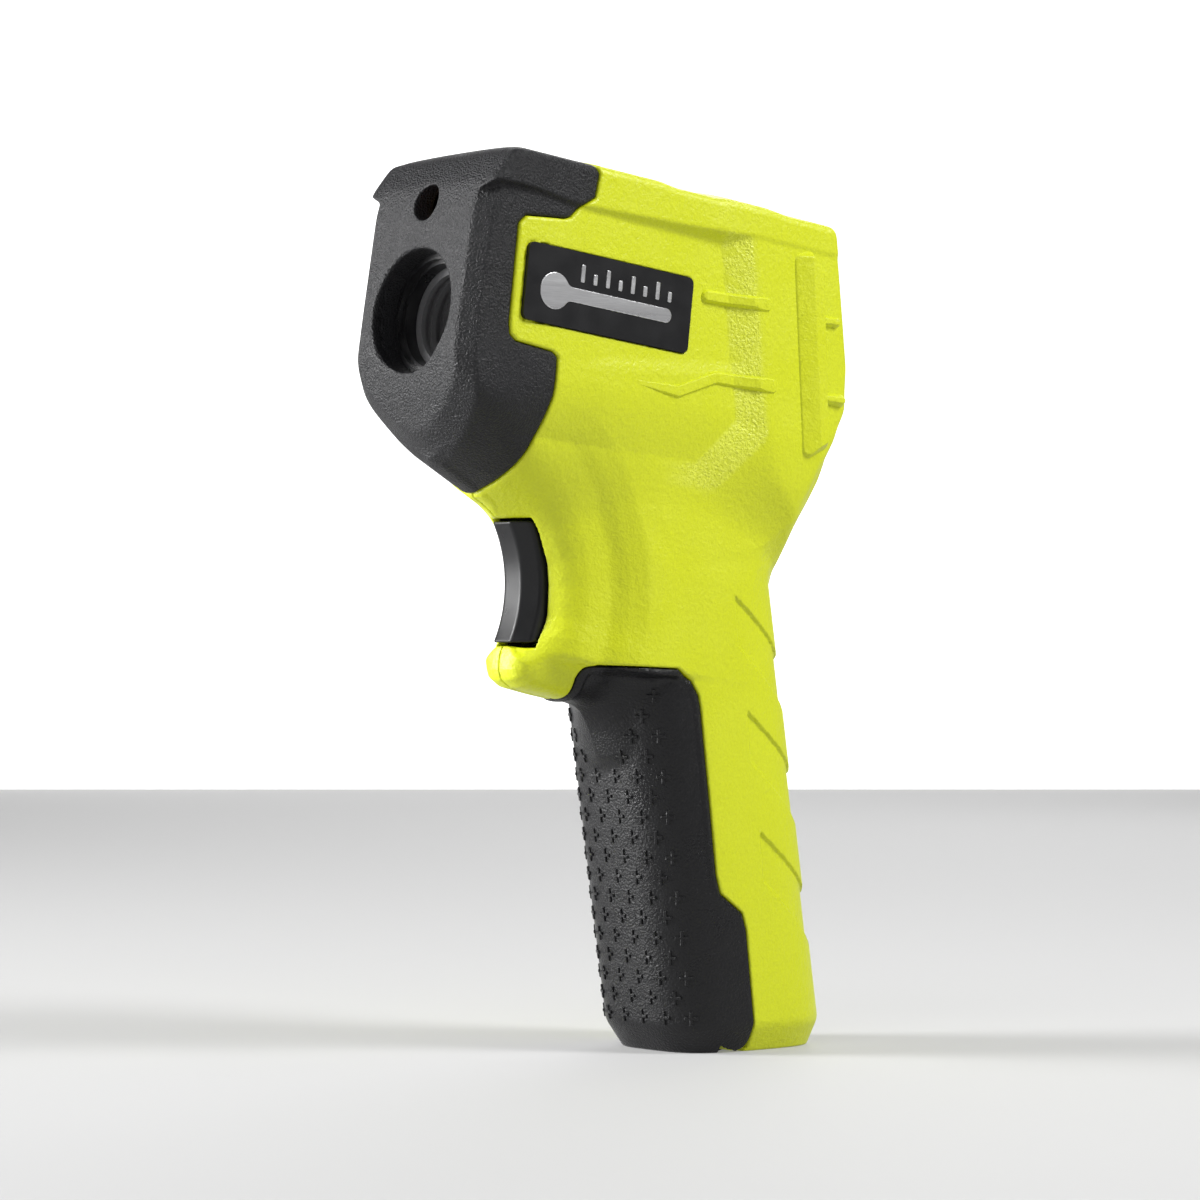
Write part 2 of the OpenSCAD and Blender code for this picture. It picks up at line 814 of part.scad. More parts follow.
module battery_lead_black() {
    color([0.05, 0.05, 0.05]) mirror([1, 0, 0]) wire(curve(battery_lead_route), 0.8);
}

shell_left();
shell_right();
nose_cap();
side_badge_left();
side_badge_right();
aperture_ring();
ir_baffle();
ir_lens();
optics_tube();
thermopile_sensor();
sensor_board();
sensor_board_screws();
sensor_ribbon();
laser_module();
laser_lens();
laser_leads();
main_board();
processor_chip();
board_capacitors();
buzzer();
main_board_screws();
key_switches();
rear_bezel();
display_window();
lcd_panel();
lcd_backlight();
lcd_frame();
zebra_strips();
button_laser();
button_units();
button_mode();
trigger();
trigger_pin();
trigger_spring();
trigger_switch();
switch_leads();
battery_door();
battery_pad();
door_hinge_pin();
battery_9v();
battery_terminals();
battery_snap();
battery_lead_red();
battery_lead_black();
shell_screws();
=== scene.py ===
import itertools
import json
import math

import bpy
import numpy as np
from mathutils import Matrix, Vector


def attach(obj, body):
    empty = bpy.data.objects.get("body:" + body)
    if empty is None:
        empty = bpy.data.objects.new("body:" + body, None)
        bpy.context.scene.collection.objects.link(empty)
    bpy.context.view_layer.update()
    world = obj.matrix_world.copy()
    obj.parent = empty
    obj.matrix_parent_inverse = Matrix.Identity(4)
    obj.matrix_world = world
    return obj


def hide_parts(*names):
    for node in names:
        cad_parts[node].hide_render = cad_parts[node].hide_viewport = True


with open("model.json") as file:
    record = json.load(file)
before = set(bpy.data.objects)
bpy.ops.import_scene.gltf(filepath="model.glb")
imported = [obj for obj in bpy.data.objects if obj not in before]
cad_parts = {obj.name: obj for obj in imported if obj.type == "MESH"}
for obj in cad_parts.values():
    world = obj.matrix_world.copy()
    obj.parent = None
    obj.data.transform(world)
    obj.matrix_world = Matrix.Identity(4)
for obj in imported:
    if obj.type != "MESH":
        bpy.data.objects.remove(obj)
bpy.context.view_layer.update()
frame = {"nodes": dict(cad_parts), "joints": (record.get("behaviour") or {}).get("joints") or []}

# The moulded pieces are signed-distance forms: negative inside, positive outside, in mm.
# Each form is a function of x, y and z arrays. A grid of its values is turned into a mesh.

MM = 0.001
HOUSING = "housing"

# ---- driving dimensions, in millimetres and degrees, in the frame's own axes ----

NOSE_Y, NOSE_Z = -70.5, 134.2      # centre of the aperture on the front face
BARREL_TILT = math.radians(6.8)
KEEL_SLOPE = math.radians(22.8)
GRIP_RAKE = math.radians(8.6)
GRIP_A, GRIP_B, GRIP_POWER = 16.0, 18.8, 3.0
GRIP_CENTRE_Y = 1.0
PANEL_HALF, FRAME_HALF = 18.4, 21.0
APERTURE_R, LASER_R, LASER_RISE = 11.1, 3.25, 19.6
FACE_CHAMFER = 2.7
CROWN = 31.5
WALL = 1.8
SEAM = 0.07                        # half the gap between two fitted covers
DOOR_GAP = 0.10                    # half the gap round the battery door
DOOR_RIM = 0.22                    # height of the fine line just inside the door's edge
RIM_INSET, RIM_HALF = 1.15, 0.75
BASE_CHAMFER, CHAMFER_H = 2.6, 5.0
BADGE = {"u": 30.0, "w": 6.1, "length": 38.2, "height": 13.8, "corner": 1.2}
TRIGGER_HALF, FACET_HALF, FACET_SLOPE = 5.2, 2.35, 0.8
SLOT_HALF, SLOT_MOUTH_HALF, FACET_ROOM = 5.55, 2.8, 0.3
FORK_R, FORK_HALF, FORK_Y, FORK_Z = 3.4, 2.6, (-45, -39), (90.4, 98)
SCREWS = [(-14.5, 143.5), (-46.5, 114.5), (-27, 96.5), (3.4, 67), (12.7, 12.2)]
SCREW_SEAT = 6.0                   # distance of the screw heads from the mid-plane
DRIVER_R, SHANK_R, PILOT_R = 2.9, 1.5, 1.3
BOSS_R, HEADED_BOSS_R, PILOT_DEPTH = 3.0, 4.0, 7.2
NOSE_WALL, NOSE_INSET = 2.2, 0.15  # the nose lies a little below the covers' surface
HALF_SPLIT = 0.04                  # half the gap between the two covers
EAR_R, EAR_NEAR, EAR_FAR = 2.6, 9.9, 12.9
EAR_FOOT_REAR, EAR_FOOT_LOW, EAR_FOOT_HIGH = 0.5, 0.6, 4.6
EAR_ROOM_NEAR, EAR_ROOM_FAR = 9.65, 13.1
CROSS_ROWS, CROSS_TOP_Z, CROSS_ROW_STEP, CROSS_PITCH = 17, 65.7, 3.69, 5.3
CROSS_REACH, CROSS_ARM, CROSS_WIDTH, CROSS_RISE = 13.6, 1.3, 0.62, 0.3
MARK_RISE, MARK_AXIS_W = 0.14, -0.9
BULB_U, BULB_R, STEM_U, STEM_LENGTH, STEM_WIDTH = -12.6, 3.3, 1.0, 27, 2.6
TICKS, TICK_U, TICK_W, TICK_PITCH, TICK_WIDTH, TICK_HEIGHTS = 8, -6.6, 1.6, 2.9, 0.9, (3.2, 1.9)
DISPLAY_U, DISPLAY_W = 84.9, 14.2
DISPLAY_LEAN = math.radians(7.4)
DISPLAY_HOLE, DISPLAY_FLANGE, DISPLAY_CORNER = (33.2, 27.6), (36.3, 29.9), 2.0
DISPLAY_DEPTH, FLANGE_DEPTH = 9, 2.55
APERTURE_SLEEVE = (13.3, 1.6, 7)   # outer radius, front end and rear end
LASER_SLEEVE = (4.8, 1.8, 5.6)

JOINTS = {joint["name"]: joint for joint in frame["joints"]}
TRIGGER_AXIS = [1000 * c for c in JOINTS["trigger_swing"]["pos_m"][1:]]
DOOR_AXIS = [1000 * c for c in JOINTS["battery_door_hinge"]["pos_m"][1:]]
KNUCKLE_R, KNUCKLE_HALF, PIN_BORE = 2.75, 9.5, 1.05
PIN_SEAT_R, PIN_SEAT_HALF, PIN_BORE_HALF = 1.02, 13.2, 13.1
LEAF_REACH, LEAF_LOW, LEAF_HIGH = 4, 0.15, 2.4
CORNER_ROOM = 0.65                 # room for the door's lower corner as it swings
DIAGONAL = 0.7071                  # scales the sum of two distances at a bevel
BADGE_NODE = frame["nodes"]["side_badge_left"]
BADGE_FACE = max((BADGE_NODE.matrix_world @ v.co).x for v in BADGE_NODE.data.vertices) * 1000


# ---- field tools ----

def smooth_max(a, b, r):
    """The larger of two fields, with the edge between them rounded over about r."""
    blend = np.maximum(r - np.abs(a - b), 0.0)
    return np.maximum(a, b) + blend * blend / (4 * r)


def smooth_min(a, b, r):
    """The smaller of two fields, with the corner between them filled over about r."""
    blend = np.maximum(r - np.abs(a - b), 0.0)
    return np.minimum(a, b) - blend * blend / (4 * r)


def ramp(value, low, high):
    """0 below low, 1 above high and smooth between them."""
    t = np.clip((value - low) / (high - low), 0, 1)
    return t * t * (3 - 2 * t)


def curve(points, blur):
    """A smooth function through the bends of a polyline, given as (position, value) pairs."""
    places, values = np.array(sorted(points), float).T
    step = 0.2
    table = np.arange(places[0] - 4 * blur, places[-1] + 4 * blur + step, step)
    reach = np.arange(-3 * blur, 3 * blur + step, step)
    weights = np.exp(-0.5 * (reach / blur) ** 2)
    margin = len(reach) // 2
    wide = np.arange(-margin, len(table) + margin) * step + table[0]
    slope_low = (values[1] - values[0]) / (places[1] - places[0])
    slope_high = (values[-1] - values[-2]) / (places[-1] - places[-2])
    raw = np.interp(wide, places, values)
    raw += np.minimum(wide - places[0], 0) * slope_low
    raw += np.maximum(wide - places[-1], 0) * slope_high
    smooth = np.convolve(raw, weights / weights.sum(), "same")[margin:margin + len(table)]
    return lambda at: np.interp(at, table, smooth)


def outline(points, p, q, corner=0.0):
    """Distance to a closed anticlockwise outline, with its convex corners rounded."""
    corners = np.array(points, float)
    if corner:
        before = corners - np.roll(corners, 1, 0)
        after = np.roll(corners, -1, 0) - corners
        before /= np.linalg.norm(before, axis=1)[:, None]
        after /= np.linalg.norm(after, axis=1)[:, None]
        left_before = before[:, ::-1] * (-1, 1)
        left_after = after[:, ::-1] * (-1, 1)
        scale = corner / (1 + (left_before * left_after).sum(1))
        corners = corners + (left_before + left_after) * scale[:, None]
    nearest = np.full(np.broadcast(p, q).shape, 1e9)
    inside = np.zeros(nearest.shape, bool)
    for (ap, aq), (bp, bq) in zip(corners, np.roll(corners, -1, 0)):
        ep, eq = bp - ap, bq - aq
        dp, dq = p - ap, q - aq
        along = np.clip((dp * ep + dq * eq) / (ep * ep + eq * eq), 0, 1)
        nearest = np.minimum(nearest, (dp - ep * along) ** 2 + (dq - eq * along) ** 2)
        crosses = ((q >= aq) & (q < bq) & (ep * dq > eq * dp)) | (
            (q < aq) & (q >= bq) & (ep * dq < eq * dp))
        inside ^= crosses
    distance = np.sqrt(nearest)
    return np.where(inside, -distance, distance) - corner


def stroke(points, p, q):
    """Distance to an open line."""
    nearest = np.full(np.broadcast(p, q).shape, 1e9)
    for (ap, aq), (bp, bq) in zip(points, points[1:]):
        ep, eq = bp - ap, bq - aq
        dp, dq = p - ap, q - aq
        along = np.clip((dp * ep + dq * eq) / (ep * ep + eq * eq), 0, 1)
        nearest = np.minimum(nearest, (dp - ep * along) ** 2 + (dq - eq * along) ** 2)
    return np.sqrt(nearest)


def plate(p, q, width, height, corner):
    """Distance to a centred rectangle with round corners."""
    dp = np.abs(p) - width / 2 + corner
    dq = np.abs(q) - height / 2 + corner
    return np.hypot(np.maximum(dp, 0), np.maximum(dq, 0)) + np.minimum(
        np.maximum(dp, dq), 0) - corner


def rod(y, z, centre, radius):
    """Distance to an endless rod along X."""
    return np.hypot(y - centre[0], z - centre[1]) - radius


def slab(value, low, high):
    """Distance to the space between two parallel planes."""
    return np.abs(value - (low + high) / 2) - (high - low) / 2


# ---- local frames ----

def barrel(y, z):
    """Distance along the barrel from the front face, and height above its axis."""
    dy, dz = y - NOSE_Y, z - NOSE_Z
    cos_t, sin_t = math.cos(BARREL_TILT), math.sin(BARREL_TILT)
    return dy * cos_t - dz * sin_t, dy * sin_t + dz * cos_t


def from_barrel(u, w):
    cos_t, sin_t = math.cos(BARREL_TILT), math.sin(BARREL_TILT)
    return NOSE_Y + u * cos_t + w * sin_t, NOSE_Z - u * sin_t + w * cos_t


def grip(y, z):
    """Depth from the grip's centre line, and height up the raked grip."""
    dy = y - GRIP_CENTRE_Y
    cos_r, sin_r = math.cos(GRIP_RAKE), math.sin(GRIP_RAKE)
    return dy * cos_r + z * sin_r, z * cos_r - dy * sin_r


def display(y, z):
    """Height up the display face from its centre, and distance out of it."""
    cy, cz = from_barrel(DISPLAY_U, DISPLAY_W)
    dy, dz = y - cy, z - cz
    cos_l, sin_l = math.cos(DISPLAY_LEAN), math.sin(DISPLAY_LEAN)
    return dz * cos_l - dy * sin_l, dy * cos_l + dz * sin_l


# ---- the outer form ----
# On the barrel, u runs back from the front face and w runs up from the aperture's centre.

FACE_U = curve([(-40, 12), (-24.7, 5.4), (-14.2, 1.3), (-8, -0.3), (0, 0), (18, 0.9),
                (22.4, 1.8), (26, 4.1), (29, 6.2), (34, 20)], 0.9)
REAR_EDGE_U = curve([(-36.8, 73.8), (-24.9, 78.7), (-10.8, 85.9), (-4.8, 88.1), (2.7, 87.7),
                     (27.4, 81.5), (34, 79.6)], 0.8)
REAR_BULGE = curve([(-40, 9), (-25, 6), (-12, 2.2), (-4, 0.2), (6, 0)], 1.5)
FRAME_PLAN = curve([(-2, 16.9), (3, 17.2), (10, 17.9), (20, 18.8), (30, 19.6), (62, 21), (82, 21),
                    (90, 19.6)], 1.0)
FRAME_FRONT = curve([(-42, 16.4), (-30, 17.6), (-22, 19.9), (-13, 21), (40, 21)], 1.2)
FLARE_PLAN = curve([(16, 16.8), (28, 17.05), (44, 17.6), (50, 18.3), (56, 19.4), (62, 20.8),
                    (72, 22)], 1.6)
RAIL_PLAN = curve([(-4, 18.6), (5, 18.9), (25, 19.3), (45, 20), (62, 21), (82, 21),
                   (90, 19.6)], 1.0)
RAIL_BEVEL, RAIL_ROOT, RAIL_FOOT_W, RAIL_TAPER = 1.0, 17.3, 20.7, 1.1
FLARE_LEAN, FLARE_W = 0.3, -20
PANEL_TURN, PANEL_TURN_W = 0.026, -8.5
CROWN_STEPS = curve([(20, 0), (39, 0), (43, -0.45), (52, -0.45), (55, 0), (64, 0),
                     (69, -0.45), (80, -0.45)], 0.5)
POCKET = [(-30, -21.5), (28, -20.2), (44, -20.0), (54.6, -19.6), (61.8, -10.9), (55.5, 18.4),
          (51, 40), (-30, 40)]
BEVEL_SLOPE, BEVEL_WIDTH = 0.37, 7.4
RIB_RISE = 0.85
UPPER_RIB = [(52, 10.4), (65.4, 10.9)]
LOWER_RIB = [(37, -7.7), (47.6, -7.9), (56.2, -4.0), (68.4, -3.7)]
SIDE_BAR = [(77.7, -16), (83.3, -12.6), (78.4, 19.1), (75, 22.6), (71.2, 21)]
BAR_RISE, BAR_SLOPE, BAR_CORNER = 1.2, 0.36, 1.4
TAB_RISE, TAB_HALF = 0.62, 0.45
BAR_TABS = [[(79.5, 10.3), (82.6, 10.5)], [(82, -3.9), (85.6, -3.7)]]
KEEL_SPREAD, KEEL_SQUARE = 23.5, 0.95
KEEL_DROP = 21.0
BROW_W, BROW_EASE = 22, 0.84
CROWN_FALL, CROWN_HALF = 2.6, 19


def flank_half(u, w):
    """Half the width of the barrel at each place on its side, with the pocket in it."""
    plan = smooth_min(FRAME_PLAN(u), FRAME_FRONT(w), 1.2)
    plan = smooth_min(plan, FLARE_PLAN(u) + FLARE_LEAN * (w - FLARE_W), 2.5)
    turn = PANEL_TURN * np.maximum(PANEL_TURN_W - w, 0) ** 2
    pocket = PANEL_HALF - turn + BEVEL_SLOPE * np.maximum(outline(POCKET, u, w), 0)
    return smooth_min(plan, pocket, 0.45)


def bevel_grain_and_painted_light(x, y, z):
    """1 on the pocket's bevel, which gets a coarser texture than the rest and a paler colour that
    is painted light on its forward-facing slope.
    """
    u, w = barrel(y, z)
    beyond = outline(POCKET, u, w)
    inner = ramp(beyond, 0.0, 0.5) * ramp(BEVEL_WIDTH - beyond, 0.0, 0.6)
    inner = inner * ramp(np.abs(x), PANEL_HALF - 3, PANEL_HALF - 2) * ramp(w, -25, -23.5)
    return inner * ramp(FRAME_HALF - 0.3 - np.abs(x), 0, 0.3) * ramp(u, 48, 54)


def rail_form(ax, u, w, front):
    """The overhanging rail along the top of the side, with its own bevelled front end."""
    side = ax - RAIL_PLAN(u)
    blend = ramp(u, 8, 22)
    root, foot = RAIL_ROOT + RAIL_TAPER * blend, RAIL_FOOT_W + RAIL_TAPER * (1 - blend)
    under = (ax - root - (w - foot) * (2.2 - 1.05 * blend)) / 1.6
    body = smooth_max(side, under, 0.35)
    body = smooth_max(body, (front + side + RAIL_BEVEL) * DIAGONAL, 0.25)
    return smooth_max(body, front, 0.5)


def relief(x, y, z):
    """The side bar, its tabs and the two ribs, standing on the cover's side."""
    u, w = barrel(y, z)
    half = flank_half(u, w)
    (u0, w0), (u1, w1) = SIDE_BAR[0], SIDE_BAR[-1]
    behind = ((u - u0) * (w1 - w0) - (w - w0) * (u1 - u0)) / math.hypot(u1 - u0, w1 - w0)
    rise = np.minimum(BAR_SLOPE * behind, BAR_RISE)
    edge = outline(SIDE_BAR, u, w, BAR_CORNER)
    bar = FRAME_HALF + np.minimum(rise, -edge * 1.3) - 0.02
    lift = np.where(edge < 1.6, bar, 0)
    for tab in BAR_TABS:
        away = stroke(tab, u, w)
        ridge = FRAME_HALF + TAB_RISE - np.maximum(away - TAB_HALF, 0) * 1.6
        lift = smooth_max(lift, np.where(away < 2, ridge, 0), 0.2)
    for line, start, width in ((UPPER_RIB, 0.5, 0.75), (LOWER_RIB, 12.0, 0.85)):
        away = stroke(line, u, w)
        full = ramp(u, line[0][0] - 1, line[0][0] + start)
        ridge = half + RIB_RISE * (0.35 + 0.65 * full) - np.maximum(away - width * (
            0.4 + 0.6 * full), 0) * 1.8
        ridge = np.minimum(ridge, FRAME_HALF + 0.05)
        lift = np.maximum(lift, np.where(away < 2, ridge, 0))
    body = smooth_max(np.abs(x) - lift, half - 0.5 - np.abs(x), 0.1)
    return body * 0.75


def head(x, y, z):
    """The barrel, from the chamfered front face to the display end."""
    u, w = barrel(y, z)
    ax = np.abs(x)
    flank = ax - flank_half(u, w)
    keel_w = w * math.cos(KEEL_SLOPE) + u * math.sin(KEEL_SLOPE) + KEEL_DROP
    keel = (ax * ax - KEEL_SPREAD * keel_w - KEEL_SQUARE * keel_w * np.abs(keel_w)) / np.hypot(
        2 * ax, KEEL_SPREAD + 2 * KEEL_SQUARE * np.abs(keel_w))
    flank = smooth_max(flank, keel, 2.0)
    front = (FACE_U(w) - u) * 0.985
    front = np.where(w > BROW_W, front * BROW_EASE, front)
    chamfer = (front + flank + FACE_CHAMFER) * DIAGONAL
    crown = w - (CROWN - CROWN_FALL * (ax / CROWN_HALF) ** 2 + CROWN_STEPS(u))
    rear = u - (REAR_EDGE_U(w) + REAR_BULGE(w) * (1 - (ax / 20) ** 2))
    rear = rear * 0.92
    body = smooth_max(smooth_max(flank, front, 0.5), chamfer, 0.4)
    body = smooth_min(body, rail_form(ax, u, w, front), 0.4)
    body = smooth_max(body, crown, 1.4)
    body = smooth_max(body, rear, 1.8)
    return smooth_max(body, -39 - w, 2.0)


THROAT_FRONT = [(-66, 108), (-57.4, 103.1), (-53.2, 100.4), (-51.2, 98), (-50.3, 96.8),
                (-49.4, 94.8), (-48.6, 92.2), (-47.5, 89), (-47.2, 85.4), (-47.5, 80.9),
                (-48.7, 77.3), (-49.0, 74)]
BACK_LINE = [(4.0, 66), (4.6, 76), (5.5, 83.5), (6.8, 88.5), (9.6, 94), (12.6, 99),
             (15.2, 104), (16.6, 108), (17, 114)]
THROAT_SIDE = THROAT_FRONT + [(-38, 71.2), (-28, 70)] + BACK_LINE + [(10, 122), (-60, 122)]
TRIGGER_POD = curve([(-1, 0.2), (0, 0.9), (1, 2.0), (2, 3.2), (3, 5.0), (4, 7.1), (5, 8.5),
                     (6.5, 9.8), (8.5, 10.9), (11, 11.6), (13, 12.1), (15.5, 13.8), (19, 15.4),
                     (24, 15.9), (34, 16)], 0.5)
BACK_ROUND = curve([(-1, 6.0), (0, 7.8), (1.5, 10.8), (4, 13.6), (9, 15.8), (20, 16)], 0.8)
SPUR_SIDE = [(-50.6, 70.6), (-50, 68.7), (-47.9, 67.2), (-42.6, 66), (-37, 64.9),
             (-28, 64.6), (-28, 76), (-46, 75.4), (-48.2, 74.4), (-50.2, 72.4)]
FLARE_SIDE = [(-27, 55), (-20, 55), (-20, 73), (-37.2, 73), (-37.4, 66), (-35.2, 64.8),
              (-31.6, 62.4), (-29, 59)]
CHEVRON_TOP = [(-8.1, 84.1), (-4.9, 62.8), (-1.8, 40.6)]
CHEVRON_BAND = [(0, 0), (1.0, -9.4), (25.4, -29.6), (25.4, -19.3)]
CHEVRON_DEPTH = 0.6
SPUR_HALF, GRIP_TOP = 6.6, 94
SWEEP_HALF, SWEEP_SPREAD, SWEEP_Z = 4.5, 0.95, 64.5


def throat(x, y, z):
    """The neck between the barrel and the grip, narrow in front round the trigger."""
    side = outline(THROAT_SIDE, y, z)
    ahead = stroke(THROAT_FRONT, y, z)
    behind = stroke(BACK_LINE, y, z)
    half = np.minimum(TRIGGER_POD(ahead), BACK_ROUND(behind) + 3.0 * ramp(z, 90, 108))
    slope = (TRIGGER_POD(ahead + 0.3) - TRIGGER_POD(ahead - 0.3)) / 0.6
    flank = (np.abs(x) - half) / np.sqrt(1 + slope * slope)
    return smooth_max(side, flank, 1.5)


def spur(x, y, z):
    """The finger rest below the trigger."""
    side = outline(SPUR_SIDE, y, z, 1.5)
    return smooth_max(side, np.abs(x) - SPUR_HALF, 5.6)


def grip_flare(x, y, z):
    """The grip's front sweeping out to meet the spur."""
    half = SWEEP_HALF + SWEEP_SPREAD * np.maximum(z - SWEEP_Z, 0)
    return smooth_max(outline(FLARE_SIDE, y, z), (np.abs(x) - half) * 0.72, 6.0)


def grip_form(x, y, z):
    """The raked grip with the chamfer round its foot."""
    gy, _ = grip(y, z)
    a, b, n = GRIP_A, GRIP_B, GRIP_POWER
    ax, ay = np.abs(x), np.abs(gy)
    size = np.maximum(((ax / a) ** n + (ay / b) ** n) ** (1 / n), 0.05)
    steep = size ** (1 - n) * np.hypot(ax ** (n - 1) / a ** n, ay ** (n - 1) / b ** n)
    wall = (size - 1) / np.maximum(steep, 1 / 30)
    slope = BASE_CHAMFER / CHAMFER_H
    chamfer = (wall + BASE_CHAMFER - z * slope) / math.hypot(1, slope)
    body = smooth_max(wall, chamfer, 0.5)
    body = smooth_max(body, -z, 0.4)
    return smooth_max(body, z - GRIP_TOP, 8.0)


def chevrons(y, z):
    """How deep the slanting bands on the grip's back are sunk."""
    depth = 0.0
    for top_y, top_z in CHEVRON_TOP:
        band = [(top_y + dy, top_z + dz) for dy, dz in CHEVRON_BAND]
        depth = depth + CHEVRON_DEPTH * ramp(-outline(band, y, z), -0.15, 0.35)
    return depth


def outer(x, y, z):
    """The whole outside, before it is parted into covers."""
    front = smooth_min(throat(x, y, z), spur(x, y, z), 4.0)
    fillet = 0.6 + 4.5 * ramp(-y, 20, 29)
    front = smooth_min(front, grip_flare(x, y, z), 1.5)
    body = smooth_min(front, grip_form(x, y, z), fillet)
    body = smooth_min(body, head(x, y, z), 5.0 - 2.5 * ramp(-y, 38, 50))
    return body + chevrons(y, z)


# ---- boundaries between the covers ----

NOSE_SIDE = [(-12, -45), (17.6, -45), (17.6, -30), (19.4, -19.3), (20.2, -12.8), (19.9, -6.2),
             (18.7, -5.4), (10.7, -4.8), (9.4, -3.8), (9, -2), (9, 15.8), (10.4, 17.5),
             (18.6, 18.4), (19.8, 18.8), (21.6, 21), (24.4, 23.1), (24.9, 27.5), (24.2, 29),
             (24.2, 45), (-12, 45)]
DOOR_SIDE = [(-70, -8), (-3.1, -8), (-3.1, 5.3), (-5.1, 22.7), (-6.1, 25.7), (-11, 29.4),
             (-12, 32.7), (-13.7, 46.4), (-15.9, 63.6), (-16.4, 65.8), (-18, 68.4),
             (-21.5, 70.6), (-36.4, 71.3), (-37.4, 70.8), (-37.9, 69), (-37.9, 60), (-70, 60)]
TRIGGER_SLOT = [(-64, 75.0), (-50, 75.0), (-47.5, 74.4), (-39.0, 74.9), (-37.2, 79), (-37.2, 93),
                (-41.6, 97.9), (-64, 97.5)]
FINGER_R = 23.3
FINGER_CENTRE = (-47.3 - FINGER_R, 86.1)


def trigger_face(x, y, z):
    """Distance behind the trigger's finger face, and inside its sloping side facets."""
    reach = FINGER_R - np.hypot(y - FINGER_CENTRE[0], z - FINGER_CENTRE[1])
    slant = (np.abs(x) - FACET_HALF) * FACET_SLOPE
    return reach, (reach + slant) / math.hypot(1, FACET_SLOPE)


def nose_region(y, z):
    """Distance to the part of the side view that the nose takes."""
    u, w = barrel(y, z)
    return outline(NOSE_SIDE, u, w)


def door_region(y, z):
    """Distance to the part of the side view that the battery door takes."""
    return outline(DOOR_SIDE, y, z)


def door_corner(y, z, radius):
    """Keeps the door's lower rear corner within a radius round its hinge."""
    ahead = y - DOOR_AXIS[0]
    above = DOOR_AXIS[1] - z
    reach = np.hypot(np.maximum(ahead, 0), np.maximum(above, 0))
    return np.where((ahead > 0) & (above > 0), reach, 0.0) - radius


def badge_recess(x, y, z):
    """The pocket for the side badge."""
    u, w = barrel(y, z)
    shape = plate(u - BADGE["u"], w - BADGE["w"], BADGE["length"] + 0.2,
                  BADGE["height"] + 0.2, BADGE["corner"])
    return np.maximum(shape, PANEL_HALF - 0.5 - np.abs(x))


def display_opening(x, y, z):
    """The hole for the display's bezel, wider inside where its flange sits."""
    up, out = display(y, z)
    hole = np.maximum(plate(x, up, *DISPLAY_HOLE, DISPLAY_CORNER),
                      slab(out, -DISPLAY_DEPTH, DISPLAY_DEPTH))
    flange = np.maximum(plate(x, up, *DISPLAY_FLANGE, DISPLAY_CORNER),
                        slab(out, -DISPLAY_DEPTH, -FLANGE_DEPTH))
    return np.minimum(hole, flange)


def ears(x, y, z):
    """The lugs that hold the ends of the battery door's pin."""
    across = slab(np.abs(x), EAR_NEAR, EAR_FAR)
    foot = np.maximum(slab(y, DOOR_AXIS[0], EAR_FOOT_REAR), slab(z, EAR_FOOT_LOW, EAR_FOOT_HIGH))
    return np.maximum(np.minimum(rod(y, z, DOOR_AXIS, EAR_R), foot), across)


def shell(x, y, z, holes):
    """The left cover, or with holes the right one mirrored to +X."""
    form = outer(x, y, z)
    body = np.maximum(form, -(form + WALL))
    for spot in SCREWS:
        boss = rod(y, z, spot, HEADED_BOSS_R if holes else BOSS_R)
        body = np.minimum(body, np.maximum(boss, form + 0.3))
    body = smooth_max(body, -nose_region(y, z) + SEAM, 0.7)
    left_to_door = np.maximum(door_region(y, z), door_corner(y, z, KNUCKLE_R + CORNER_ROOM))
    body = smooth_max(body, -left_to_door + DOOR_GAP, 0.45)
    body = np.minimum(body, ears(x, y, z))
    bore = np.maximum(rod(y, z, DOOR_AXIS, PIN_SEAT_R), np.abs(x) - PIN_SEAT_HALF)
    body = np.maximum(body, -bore)
    _, facet = trigger_face(x, y, z)
    across = np.maximum(np.minimum(facet - FACET_ROOM, np.abs(x) - SLOT_MOUTH_HALF),
                        np.abs(x) - SLOT_HALF)
    slot = np.maximum(outline(TRIGGER_SLOT, y, z, 0.6), across)
    body = smooth_max(body, -slot, 0.6)
    body = smooth_max(body, -badge_recess(x, y, z), 0.25)
    body = smooth_max(body, -display_opening(x, y, z), 0.4)
    if holes:
        for spot in SCREWS:
            driver = np.maximum(rod(y, z, spot, DRIVER_R), SCREW_SEAT - x)
            body = smooth_max(body, -np.minimum(driver, rod(y, z, spot, SHANK_R)), 0.4)
    else:
        for spot in SCREWS:
            body = np.maximum(body, -np.maximum(rod(y, z, spot, PILOT_R), x - PILOT_DEPTH))
    return smooth_max(body, HALF_SPLIT - x, 0.3)


def sleeve(x, u, w, rise, size):
    """A collar behind the front face, round a hole that lies rise above the aperture."""
    radius, front, rear = size
    return np.maximum(np.hypot(x, w - rise) - radius, slab(u, front, rear))


def nose_cap(x, y, z):
    """The dark nose, with its aperture and laser hole and their sleeves."""
    u, w = barrel(y, z)
    form = outer(x, y, z) + NOSE_INSET
    body = np.maximum(form, -(form + NOSE_WALL))
    sleeves = np.minimum(sleeve(x, u, w, 0, APERTURE_SLEEVE),
                         sleeve(x, u, w, LASER_RISE, LASER_SLEEVE))
    body = np.minimum(body, np.maximum(sleeves, form))
    body = smooth_max(body, nose_region(y, z) + SEAM, 0.7)
    body = smooth_max(body, APERTURE_R - np.hypot(x, w), 0.8)
    return smooth_max(body, LASER_R - np.hypot(x, w - LASER_RISE), 0.5)


